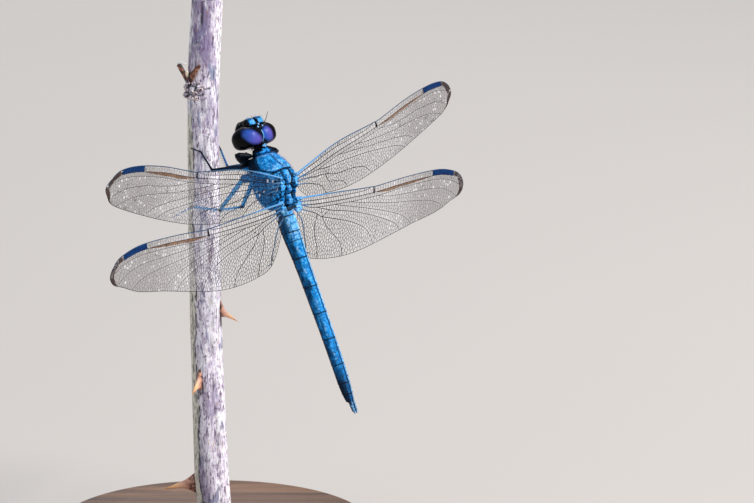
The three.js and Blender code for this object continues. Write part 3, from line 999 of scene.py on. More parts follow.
@dataclass
class Cane:
    """A cut length of old cane with its thorns, an opened bud and the scars round it, in millimetres."""

    axis: Table = (
        (7.4, -0.02, 2.95),
        (14, -0.42, 2.9),
        (28, -0.9, 2.78),
        (45, -1.27, 2.68),
        (60, -1.44, 2.72),
        (74, -1.55, 2.62),
        (84, -1.4, 2.66),
        (95.2, -0.85, 2.58),
    )
    ridges: int = 5
    ridge: float = 0.07
    twist: float = 40.0
    thorns: tuple[Thorn, ...] = (
        Thorn(68, 42.2, 3.3, 1.8, 1.1, 0.75, 3.6, 0.5),
        Thorn(-29, 30.6, 2.7, 2.2, 1.9, 0.82, 3.4, 1.4),
        Thorn(-90, 11.9, 5.6, 1.3, 1.45, 0.95, 1.3, 1.1),
    )
    scar_angle: float = -54.0
    scar_height: float = 80.2
    bud_axis: float = -1.45
    knots: int = 26
    pads: tuple[tuple[float, float, float, float, float], ...] = (
        (-62, 80.2, 0.45, 1.9, 1.2),
        (-20, 80.3, 0.15, 1.4, 0.9),
        (-18, 87.2, 0.16, 0.75, 1.2),
        (-10, 87.6, 0.18, 1.0, 1.5),
        (60, 66.0, 0.14, 1.6, 1.6),
        (-120, 55.0, 0.2, 1.5, 2.2),
        (150, 33.0, 0.2, 1.6, 2.0),
    )
    rings: int = 440
    sides: int = 128

    def point(self, angle: float, height: float, outwards: float = 0.0) -> Vector:
        """A point on the bark, or off it by a distance, in the model's millimetres."""
        _, offset, radius = sample(self.axis, np.array([height]))[0]
        turn = math.radians(angle)
        reach = radius + outwards
        return Vector((offset + reach * math.sin(turn), -reach * math.cos(turn), height))

    def plant(self, piece: Piece, angle: float, height: float) -> Piece:
        """Sets a growth made round the origin, pointing along +x, on the bark."""
        _, offset, radius = sample(self.axis, np.array([height]))[0]
        turn = Matrix.Rotation(math.radians(angle - 90), 4, "Z")
        place = Matrix.Translation((offset, 0, height))
        piece.data.transform(place @ turn @ Matrix.Translation((radius, 0, 0)))
        return piece

    def build(self) -> None:
        """Makes the cane, its thorns and its bud."""
        self.make_cane()
        self.make_thorns()
        self.make_bud()
        self.make_knots()

    def make_cane(self) -> None:
        """The stem, with its ridges, cracks, swellings and cut ends, and a painted shadow below each thorn.
        """
        foot, top = self.axis[0][0], self.axis[-1][0]

        def ring(along: Array, across: Array, up: Array) -> Array:
            """Places the bark's points; the first and last rings close the cut ends."""
            inner = np.clip((along * (self.rings - 1) - 3) / (self.rings - 7), 0, 1)
            height = top - (top - foot) * inner
            rim = np.minimum(along, 1 - along) * (self.rings - 1)
            face = np.interp(rim, (0, 1, 2, 3, 4), (0.0, 0.55, 0.93, 0.985, 1.0))
            _, offset, radius = sample(self.axis, height).T
            turn = np.arctan2(up, across)
            ridged = turn + math.radians(self.twist) * (height - foot) / (top - foot)
            reach = radius - 0.03 + self.ridge * np.cos(self.ridges * ridged)
            flow = np.column_stack([2.2 * np.cos(ridged), 2.2 * np.sin(ridged), height * 0.16])
            fibre = np.column_stack([5.2 * np.cos(ridged), 5.2 * np.sin(ridged), height * 0.09])
            strand = grain(fibre, 1.0)
            reach += 0.05 * grain(flow, 1.0) - 0.11 * smooth(0.28, 0.55, strand) + 0.03 * strand
            places = np.column_stack([up * reach, -across * reach, height])
            azimuth = np.degrees(np.arctan2(up, across))
            for angle, level, swell, wide, tall in self.pads:
                gap = (azimuth - angle + 180) % 360 - 180
                away = np.hypot(np.radians(gap) * radius / wide, (height - level) / tall)
                places[:, :2] *= (1 + swell / radius * np.exp(-(away**2)) * (1 + 0.25 * strand))[:, None]
            places[:, :2] *= face[:, None]
            places[:, 0] += offset
            return places

        cane = Bench.tube("cane", self.rings, self.sides, ring)
        places = Bench.points(cane)
        _, offset, radius = sample(self.axis, places[:, 2]).T
        azimuth = np.degrees(np.arctan2(places[:, 0] - offset, -places[:, 1]))
        out = np.hypot(places[:, 0] - offset, places[:, 1])
        height = places[:, 2]
        rim = -42 + 5 * np.sin(height * 0.31) + 3 * np.sin(height * 0.83)
        weathered = smooth(2, -5, azimuth - rim) * smooth(-172, -140, azimuth) * smooth(78.0, 74.0, height)
        dusk = window(-62, -40, 8, 34, azimuth) * (0.2 + 0.7 * smooth(83.5, 87, height))
        dark = 0.75 * smooth(-0.06, -0.14, out - radius)
        dark *= smooth(-0.3, 0.15, grain(places * (1, 1, 0.5), 1.1))
        broken = smooth(-0.4, 0.0, grain(np.column_stack([height * 0.7, height * 0, height * 0]), 1.0))
        split = smooth(5.5, 2.2, np.abs(azimuth - rim + 5 * grain(places, 1.3)))
        dark = np.maximum(dark, 0.95 * broken * split * smooth(78.0, 74.0, height))
        # A painted shadow on the bark just below each thorn.
        for thorn in self.thorns:
            gap = (azimuth - thorn.angle + 180) % 360 - 180
            wide = np.radians(gap) * radius / thorn.wide
            away = np.hypot(wide, (height - thorn.height + 1.6) / 1.5)
            dark = np.maximum(dark, 0.8 * smooth(1.15, 0.6, away))
        dark = np.maximum(dark, self.scar_lines(azimuth, height, radius))
        Bench.paint(cane, algae=weathered, dusk=dusk, dark=dark)
        Bench.hand_over(cane, Bark(), "cane_bark", ["perch_stem"], 50, SHRINK)

    def scar_lines(self, azimuth: Array, height: Array, radius: Array) -> Array:
        """How dark the bark is in the cracks of the old scar and the ring scar above it."""
        gap = np.radians((azimuth - self.scar_angle + 180) % 360 - 180) * radius
        place = np.column_stack([gap, height - self.scar_height])
        cracks = np.zeros(len(place))
        for line in (
            [(-2.4, 0.9), (-0.9, 0.35), (0.6, 0.75), (2.4, 0.1), (3.6, 0.3)],
            [(-2.0, -1.0), (-0.4, -0.55), (1.0, -1.05), (2.6, -0.7)],
            [(-0.2, 1.6), (0.1, 0.3), (-0.3, -0.9), (0.2, -1.7)],
            [(1.5, 1.3), (1.2, -0.2), (1.6, -1.3)],
        ):
            cracks = np.maximum(cracks, smooth(0.22, 0.08, distance_to_line(place, line)))
        crescent = distance_to_line(
            np.column_stack([np.radians((azimuth + 18 + 180) % 360 - 180) * radius, height - 87.2]),
            [(-0.9, 0.75), (-0.3, 1.15), (0.55, 0.8), (0.8, 0.1)],
        )
        return np.maximum(cracks, 0.6 * smooth(0.16, 0.06, crescent))

    def make_thorns(self) -> None:
        """The three hooked thorns, each flaring into the bark."""
        root, steps, sides = 1.2, 40, 32
        grown = []
        for thorn in self.thorns:

            def ring(along: Array, across: Array, up: Array) -> Array:
                """Places the thorn's points from its buried root to its tip."""
                swell = np.maximum((1 - along) ** 1.15, 0.03) * np.where(along > 0.995, 0.2, 1)
                x = -root + along * (thorn.reach + root)
                flare = np.maximum(0, 1 - along / 0.45) ** 1.3
                run = np.where(up > 0, thorn.upwards, thorn.downwards) * flare
                z = up * (thorn.tall * swell + run) - thorn.drop * along**1.5
                return np.column_stack([x, across * thorn.wide * swell, z])

            piece = Bench.tube("thorn", steps, sides, ring)
            Bench.paint(piece, tip=smooth(-0.2, thorn.reach, Bench.points(piece)[:, 0]))
            grown.append(self.plant(piece, thorn.angle, thorn.height))
        thorns = Bench.join("cane_thorns", grown)
        Bench.hand_over(thorns, ThornWood(), "cane_bark", matrix=SHRINK)

    def scale(self, path: Table, widths: Point, thick: float, tip: float) -> Piece:
        """A bud scale: a flat blade through points on the cane, with its widths and its colour.

        Args:
            path: Angle, height and distance off the bark of its start, its middle and its end.
            widths: Half its width at those points.
            thick: Half its thickness.
            tip: How far along the thorn wood's colours it is.

        Returns:
            The blade in the model's millimetres.
        """
        line = spline([self.point(*place) for place in path], 10)
        ways = unit(np.gradient(line, axis=0))
        side = unit(np.cross(ways, (line - (self.bud_axis, 0, 0)) * (1, 1, 0)))
        face = np.cross(side, ways)
        half = np.interp(np.linspace(0, 1, len(line)), (0, 0.5, 1), widths)

        def ring(along: Array, across: Array, up: Array) -> Array:
            """Places the blade's points round its middle line."""
            k = np.rint(along * (len(line) - 1)).astype(int)
            ends = np.where((along < 0.01) | (along > 0.99), 0.25, 1.0)
            sideways, outwards = ends * across * half[k], ends * up * thick
            return line[k] + sideways[:, None] * side[k] + outwards[:, None] * face[k]

        blade = Bench.tube("blade", len(line), 20, ring)
        Bench.paint(blade, tip=np.full(len(blade.data.vertices), tip))
        return blade

    def make_bud(self) -> None:
        """An opened bud: two scales spread in a V, a near-black blade between them as painted shade in the
        cleft, its core and a pale rim.
        """
        blades = (
            (((-62, 81.3, 0.1), (-68, 82.7, 0.85), (-74, 84.4, 1.75)), (0.55, 0.5, 0.4), 0.4, 0.06),
            (((-56, 81.3, 0.1), (-34, 82.8, 0.6), (-10, 84.6, 0.75)), (0.6, 0.5, 0.25), 0.22, 0.08),
            # This near-black blade stands in for the shade in the cleft.
            (((-58, 81.0, 0.2), (-54, 82.2, 0.45), (-52, 83.2, 0.45)), (0.5, 0.95, 0.8), 0.25, 0.0),
            (((-50, 82.4, 0.75), (-50, 82.9, 0.95), (-50, 83.4, 0.9)), (0.12, 0.3, 0.18), 0.25, 0.45),
            (((-77, 84.5, 1.95), (-68, 84.6, 1.3), (-60, 84.4, 0.75)), (0.22, 0.24, 0.1), 0.14, 0.8),
        )
        bud = Bench.join("opened_bud", [self.scale(*blade) for blade in blades])
        husk = (
            (0.0, (0.012, 0.005, 0.005)),
            (0.06, (0.1, 0.03, 0.018)),
            (0.14, (0.42, 0.16, 0.09)),
            (0.4, (0.8, 0.68, 0.5)),
            (0.8, (0.92, 0.9, 0.92)),
        )
        Bench.hand_over(bud, ThornWood("bud_husk", husk), "cane_bark", matrix=SHRINK)

    def make_knots(self) -> None:
        """The crumbled knots on the old scar."""
        knots = []
        for k in range(self.knots):
            size = 0.42 + 0.17 * math.sin(3.7 * k)
            knot = Bench.egg("knot", Egg(0.0, 0, 0, size * 0.85, size * 1.15, size * 0.8), 20, 14)
            places = Bench.points(knot)
            Bench.move(knot, places * (1 + 0.22 * grain(places + 7.0 * k, 2.2))[:, None])
            angle = -118 + 4.4 * k + 8 * math.sin(2.1 * k)
            lift = 0.55 * smooth(30, 5, abs(angle - self.scar_angle)) + 0.08
            knot.data.transform(Matrix.Translation((float(lift), 0, 0)))
            knots.append(self.plant(knot, angle, self.scar_height + 1.4 * math.sin(2.6 * k + 0.5)))
        Bench.hand_over(Bench.join("scar_knots", knots), ScarCork(), "cane_bark", matrix=SHRINK)


# ---- wings


@dataclass(frozen=True)
class MainVein:
    """A long vein: the vein it leaves, if any, its height and thickness, and its points as span and chord."""

    name: str
    leaves: str
    lift: float
    thick: float
    points: Pairs


@dataclass(frozen=True)
class WingPlan:
    """One wing's outline and veins. Spans and chords are shares of its length, in millimetres."""

    length: float
    root: Triple
    leading: Pairs
    tip: Pairs
    trailing: Pairs
    nodus: float
    stigma: tuple[float, float]
    antenodals: int
    postnodals: int
    veins: tuple[MainVein, ...]
    triangle: Pairs


FORE = WingPlan(
    length=41,
    root=(6.07, 1.75, 3.16),
    leading=((0.25, -0.027), (0.48, -0.012), (0.53, -0.01), (0.7, -0.026), (0.84, -0.025), (0.93, -0.008)),
    tip=((0.975, 0.022), (1, 0.068)),
    trailing=(
        (0.985, 0.1), (0.94, 0.137), (0.8, 0.167), (0.62, 0.193), (0.45, 0.205),
        (0.3, 0.196), (0.17, 0.165), (0.08, 0.14), (0.03, 0.098), (0, 0.055),
    ),
    nodus=0.504,
    stigma=(0.819, 0.935),
    antenodals=16,
    postnodals=11,
    veins=(
        MainVein("subcosta", "", -0.2, 0.085, (
            (-0.01, 0.012), (0.1, 0.005), (0.25, -0.006), (0.4, 0.001), (0.47, -0.001), (0.508, -0.016),
        )),
        MainVein("radius", "", 0.16, 0.1, (
            (-0.01, 0.022), (0.1, 0.022), (0.25, 0.013), (0.4, 0.014), (0.5, 0.013), (0.6, 0.006),
            (0.7, -0.003), (0.84, -0.002), (0.93, 0.012), (0.99, 0.036),
        )),
        MainVein("radial_sector", "radius", -0.1, 0.075, (
            (0.02, 0.022), (0.06, 0.032), (0.14, 0.04), (0.25, 0.034), (0.4, 0.036), (0.5, 0.034),
            (0.6, 0.028), (0.7, 0.018), (0.84, 0.018), (0.93, 0.034), (1.01, 0.078),
        )),
        MainVein("second_sector", "radial_sector", 0.04, 0.075, (
            (0.54, 0.033), (0.6, 0.046), (0.7, 0.053), (0.8, 0.055), (0.9, 0.074), (0.99, 0.125),
        )),
        MainVein("between_sector", "radial_sector", 0.12, 0.075, (
            (0.38, 0.035), (0.46, 0.052), (0.58, 0.072), (0.7, 0.083), (0.8, 0.094), (0.88, 0.118),
            (0.95, 0.155),
        )),
        MainVein("third_sector", "radial_sector", -0.1, 0.075, (
            (0.27, 0.034), (0.36, 0.055), (0.48, 0.085), (0.6, 0.112), (0.7, 0.143), (0.77, 0.19),
        )),
        MainVein("media", "radial_sector", 0.1, 0.085, (
            (0.13, 0.039), (0.2, 0.056), (0.3, 0.07), (0.42, 0.095), (0.53, 0.124), (0.63, 0.155),
            (0.7, 0.2),
        )),
        MainVein("cubitus", "", -0.1, 0.085, (
            (-0.01, 0.034), (0.05, 0.045), (0.12, 0.066), (0.175, 0.08), (0.25, 0.112), (0.34, 0.13),
            (0.42, 0.16), (0.47, 0.215),
        )),
        MainVein("anal", "cubitus", 0.08, 0.075, (
            (0.175, 0.08), (0.19, 0.118), (0.235, 0.137), (0.28, 0.16), (0.31, 0.21),
        )),
        MainVein("hind_anal", "", -0.05, 0.075, (
            (-0.01, 0.046), (0.05, 0.066), (0.11, 0.096), (0.15, 0.125), (0.18, 0.18),
        )),
    ),
    triangle=((0.165, 0.05), (0.2, 0.057), (0.193, 0.088)),
)
HIND = WingPlan(
    length=40,
    root=(2.2, 2.03, 1.84),
    leading=((0.22, 0.002), (0.42, 0.006), (0.47, 0.004), (0.64, -0.014), (0.82, -0.022), (0.92, -0.006)),
    tip=((0.972, 0.02), (1, 0.066)),
    trailing=(
        (0.985, 0.105), (0.93, 0.13), (0.84, 0.17), (0.7, 0.203), (0.55, 0.243), (0.4, 0.279),
        (0.27, 0.291), (0.15, 0.283), (0.08, 0.262), (0.035, 0.2), (0, 0.095),
    ),
    nodus=0.439,
    stigma=(0.795, 0.926),
    antenodals=13,
    postnodals=12,
    veins=(
        MainVein("subcosta", "", -0.2, 0.085, (
            (-0.01, 0.016), (0.1, 0.022), (0.25, 0.022), (0.36, 0.02), (0.41, 0.014), (0.444, -0.001),
        )),
        MainVein("radius", "", 0.16, 0.1, (
            (-0.01, 0.028), (0.1, 0.037), (0.25, 0.038), (0.4, 0.033), (0.47, 0.028), (0.64, 0.01),
            (0.82, 0.001), (0.92, 0.015), (0.99, 0.034),
        )),
        MainVein("radial_sector", "radius", -0.1, 0.075, (
            (0.02, 0.03), (0.06, 0.046), (0.12, 0.054), (0.25, 0.056), (0.4, 0.053), (0.5, 0.047),
            (0.64, 0.031), (0.82, 0.022), (0.92, 0.038), (1.01, 0.082),
        )),
        MainVein("second_sector", "radial_sector", 0.04, 0.075, (
            (0.47, 0.049), (0.55, 0.06), (0.7, 0.06), (0.82, 0.06), (0.9, 0.077), (0.99, 0.13),
        )),
        MainVein("between_sector", "radial_sector", 0.12, 0.075, (
            (0.31, 0.055), (0.42, 0.073), (0.58, 0.092), (0.7, 0.1), (0.8, 0.112), (0.87, 0.14),
            (0.92, 0.18),
        )),
        MainVein("third_sector", "radial_sector", -0.1, 0.075, (
            (0.21, 0.055), (0.32, 0.077), (0.45, 0.105), (0.57, 0.135), (0.66, 0.17), (0.72, 0.225),
        )),
        MainVein("media", "radial_sector", 0.1, 0.085, (
            (0.11, 0.053), (0.2, 0.077), (0.3, 0.094), (0.42, 0.123), (0.52, 0.156), (0.6, 0.19),
            (0.64, 0.24),
        )),
        MainVein("cubitus", "", -0.1, 0.085, (
            (-0.01, 0.042), (0.05, 0.06), (0.11, 0.08), (0.15, 0.1), (0.24, 0.122), (0.34, 0.15),
            (0.43, 0.195), (0.49, 0.28),
        )),
        MainVein("anal", "cubitus", 0.08, 0.075, (
            (0.145, 0.098), (0.175, 0.14), (0.225, 0.185), (0.275, 0.235), (0.3, 0.31),
        )),
        MainVein("loop", "cubitus", -0.06, 0.075, (
            (0.12, 0.085), (0.11, 0.13), (0.12, 0.18), (0.14, 0.235), (0.15, 0.3),
        )),
        MainVein("hind_anal", "", 0.06, 0.075, (
            (-0.01, 0.06), (0.03, 0.1), (0.05, 0.16), (0.068, 0.22), (0.075, 0.28),
        )),
    ),
    triangle=((0.135, 0.06), (0.187, 0.073), (0.15, 0.1)),
)


@dataclass
class Mesh2D:
    """The wing's net in its own plane: points, edges with the main vein that each follows, and cells."""

    points: Array
    edges: list[tuple[int, int]]
    owners: list[str]
    cells: list[list[int]]


@dataclass
class Venation:
    """Works out a wing's veins and cells from its plan, in millimetres of span and chord."""

    plan: WingPlan
    cell_area: float = 0.34
    uncut: float = 2.0
    rounds: int = 9
    basal_stretch: float = 1.4
    outline: Array = field(init=False)
    lines: dict[str, Array] = field(init=False)

    def __post_init__(self) -> None:
        """Lays out the outline and the main veins."""
        plan = self.plan
        knots = [(0, 0), *plan.leading, *plan.tip, *plan.trailing]
        self.outline = spline(knots, 9) * plan.length
        self.lines = {}
        for vein in plan.veins:
            line = spline(vein.points, 8) * plan.length
            if vein.leaves:
                parent = self.lines[vein.leaves]
                start = parent[np.argmin(np.linalg.norm(parent - line[0], axis=1))]
                line = np.vstack([start, line[1:]])
            self.lines[vein.name] = self.trim(line, bool(vein.leaves))

    def trim(self, line: Array, rooted: bool) -> Array:
        """Cuts a line at the wing's edge: at its far end and, unless it is rooted, at its start."""
        line = self.cut_end(line)
        return line if rooted else self.cut_end(line[::-1])[::-1]

    def cut_end(self, line: Array) -> Array:
        """Cuts the last part of a line that runs out over the wing's edge."""
        edge = np.vstack([self.outline, self.outline[:1]])
        for k in range(len(line) - 1, 0, -1):
            hits = crossings(line[k - 1], line[k], edge)
            if len(hits):
                return np.vstack([line[:k], line[k - 1] + hits.min() * (line[k] - line[k - 1])])
        return line

    def chord_at(self, name: str, span: float) -> float:
        """A line's chord at a span, both in millimetres."""
        line = self.leading() if name == "costa" else self.lines[name]
        order = np.argsort(line[:, 0])
        return float(np.interp(span, line[order, 0], line[order, 1]))

    def leading(self) -> Array:
        """The leading edge, from root to tip."""
        return self.outline[: int(np.argmax(self.outline[:, 0])) + 1]

    def ladder(self) -> list[Array]:
        """The cross-veins of the narrow rows along the leading edge."""
        plan, size = self.plan, self.plan.length
        rungs = []
        for k in range(plan.antenodals):
            span = size * plan.nodus * (0.07 + 0.88 * (k / plan.antenodals) ** 0.93)
            lean = 0.25 - 0.5 * k / plan.antenodals
            rungs.append(self.rung("costa", "radius", span, lean))
        for k in range(plan.antenodals - 4):
            span = size * plan.nodus * (0.27 + 0.7 * k / (plan.antenodals - 4))
            rungs.append(self.rung("radius", "radial_sector", span, 0.15))
        start, end = plan.nodus, plan.stigma[0]
        for k in range(1, plan.postnodals):
            span = size * (start + (end - start) * k / plan.postnodals)
            rungs.append(self.rung("costa", "radius", span, -0.1))
        for k in range(plan.postnodals * 2 - 2):
            span = size * (start + 0.012 + (0.965 - start) * (k + 0.5) / (plan.postnodals * 2 - 2))
            rungs.append(self.rung("radius", "radial_sector", span, 0.12))
        for span in (plan.nodus, *plan.stigma):
            rungs.append(self.rung("costa", "radius", size * span, -0.05))
        return rungs

    def rung(self, front: str, rear: str, span: float, lean: float) -> Array:
        """One cross-vein between two lines, leaning outwards at its rear by a length."""
        return np.array([(span, self.chord_at(front, span)), (span + lean, self.chord_at(rear, span + lean))])

    def regions(self) -> list[Array]:
        """The fields between the main veins and ladder rungs, as outlines."""
        made = self.weave([])
        return [made.points[cell] for cell in made.cells]

    def weave(self, extra: list[Array]) -> Mesh2D:
        """Cuts all lines where they cross and finds the cells between them.

        Args:
            extra: Short cross-veins to add to the main ones.

        Returns:
            The net.
        """
        points: list[Vector] = []
        edges: list[tuple[int, int]] = []
        names: list[str] = []

        def add(line: Array, name: str, closed: bool = False) -> None:
            """Adds a line's points and stretches."""
            first = len(points)
            points.extend(Vector(p) for p in line)
            pairs = [(first + i, first + i + 1) for i in range(len(line) - 1)]
            if closed:
                pairs.append((first + len(line) - 1, first))
            edges.extend(pairs)
            names.extend([name] * len(pairs))

        add(self.outline, "edge", closed=True)
        for name, line in self.lines.items():
            add(line, name)
        corners = np.array(self.plan.triangle) * self.plan.length
        add(corners, "triangle", closed=True)
        for line in [*self.ladder(), *extra]:
            add(line, "cross")
        out = delaunay_2d_cdt(points, edges, [], 3, 1e-3)
        net = np.array([tuple(p) for p in out[0]])
        owners = [names[origin[0]] if origin else "" for origin in out[4]]
        cells = [cell for cell in out[2] if len(cell) > 2 and area(net[list(cell)]) > 1e-4]
        kept = [(edge, owner) for edge, owner in zip(out[1], owners) if owner]
        edges, owners = [edge for edge, _ in kept], [owner for _, owner in kept]
        return Mesh2D(net, edges, owners, [list(cell) for cell in cells])

    def net(self) -> Mesh2D:
        """The whole net, with every wide field divided into cells."""
        shuffle = np.random.default_rng(7)
        extra: list[Array] = []
        for region in self.regions():
            size = area(region)
            if size > self.uncut * self.cell_area:
                span, chord = region.mean(0) / self.plan.length
                narrow = (self.basal_stretch if span < 0.42 and chord > 0.1 else 1.12, 1.0)
                pieces = self.divide(region * narrow, max(2, round(size / self.cell_area)), shuffle)
                extra.extend(piece / narrow for piece in pieces)
        return self.weave(extra)

    def divide(self, region: Array, count: int, shuffle: np.random.Generator) -> list[Array]:
        """Divides one field into cells of much the same size.

        Args:
            region: The field's outline.
            count: How many cells it gets.
            shuffle: The source of its unevenness.

        Returns:
            The cross-veins between its cells.
        """
        low, high = region.min(0), region.max(0)
        step = math.sqrt(self.cell_area) / 5
        across, up = np.meshgrid(np.arange(low[0], high[0], step), np.arange(low[1], high[1], step))
        dots = np.column_stack([across.ravel(), up.ravel()]) + step * 0.5
        dots = dots[inside(dots, region)]
        if len(dots) < count * 2:
            return []
        order = np.argsort(dots[:, 0] + 0.15 * dots[:, 1], kind="stable")
        seeds = dots[order[np.linspace(0, len(dots) - 1, count * 2 + 1).astype(int)[1::2]]].copy()
        seeds += shuffle.uniform(-0.12, 0.12, seeds.shape)
        for _ in range(self.rounds):
            nearest = np.argmin(((dots[:, None] - seeds[None]) ** 2).sum(2), axis=1)
            tally = np.maximum(np.bincount(nearest, minlength=count), 1)
            for axis in (0, 1):
                seeds[:, axis] = np.bincount(nearest, dots[:, axis], minlength=count) / tally
        return borders(seeds, region)


def area(outline: Array) -> float:
    """The area inside a closed outline."""
    x, y = outline.T
    return abs(float(x @ np.roll(y, -1) - y @ np.roll(x, -1))) / 2


def inside(points: Array, outline: Array) -> Array:
    """Which points lie inside a closed outline."""
    start, run = outline, np.roll(outline, -1, axis=0) - outline
    sloping = run[:, 1] != 0
    start, run = start[sloping], run[sloping]
    height = points[:, 1:2]
    spans = (start[:, 1] > height) != (start[:, 1] + run[:, 1] > height)
    reach = start[:, 0] + (height - start[:, 1]) / run[:, 1] * run[:, 0]
    return np.count_nonzero(spans & (points[:, :1] < reach), axis=1) % 2 == 1


def crossings(start: Array, end: Array, line: Array) -> Array:
    """Where a stretch crosses a line, as shares of the stretch's length."""
    run = end - start
    others = line[1:] - line[:-1]
    gap = line[:-1] - start
    turn = run[0] * others[:, 1] - run[1] * others[:, 0]
    turn = np.where(np.abs(turn) < 1e-12, 1e-12, turn)
    share = (gap[:, 0] * others[:, 1] - gap[:, 1] * others[:, 0]) / turn
    along = (gap[:, 0] * run[1] - gap[:, 1] * run[0]) / turn
    hit = (share > 1e-9) & (share < 1) & (along >= 0) & (along <= 1)
    return share[hit]


FURTHEST = 9.0
NEIGHBOURS = 16
SHORTEST = 0.02


def borders(seeds: Array, region: Array) -> list[Array]:
    """The stretches that lie as far from one seed as from its neighbour, cut to the region.

    Args:
        seeds: The middles of the cells.
        region: The outline that the cells fill.

    Returns:
        The stretches as pairs of points.
    """
    rim = np.vstack([region, region[:1]])
    found = []
    gaps = ((seeds[:, None] - seeds[None]) ** 2).sum(2)
    for i in range(len(seeds)):
        near = np.argsort(gaps[i])[1:NEIGHBOURS]
        for j in near[near > i]:
            middle = (seeds[i] + seeds[j]) / 2
            way = np.array([seeds[i, 1] - seeds[j, 1], seeds[j, 0] - seeds[i, 0]])
            way /= np.linalg.norm(way)
            others = np.setdiff1d(np.union1d(near, np.argsort(gaps[j])[1:NEIGHBOURS]), [i, j])
            push = 2 * (seeds[others] - seeds[i])
            limit = (seeds[others] ** 2).sum(1) - (seeds[i] ** 2).sum() - push @ middle
            slope = push @ way
            low = max([-FURTHEST, *(limit[slope < -1e-9] / slope[slope < -1e-9])])
            high = min([FURTHEST, *(limit[slope > 1e-9] / slope[slope > 1e-9])])
            if high - low < SHORTEST:
                continue
            start, end = middle + low * way, middle + high * way
            cuts = np.concatenate([[0.0], np.sort(crossings(start, end, rim)), [1.0]])
            for first, last in zip(cuts[:-1], cuts[1:]):
                piece = start + np.outer((first, last), end - start)
                if inside(piece.mean(0)[None], region)[0] and (last - first) * (high - low) > 0.01:
                    found.append(piece)
    return found


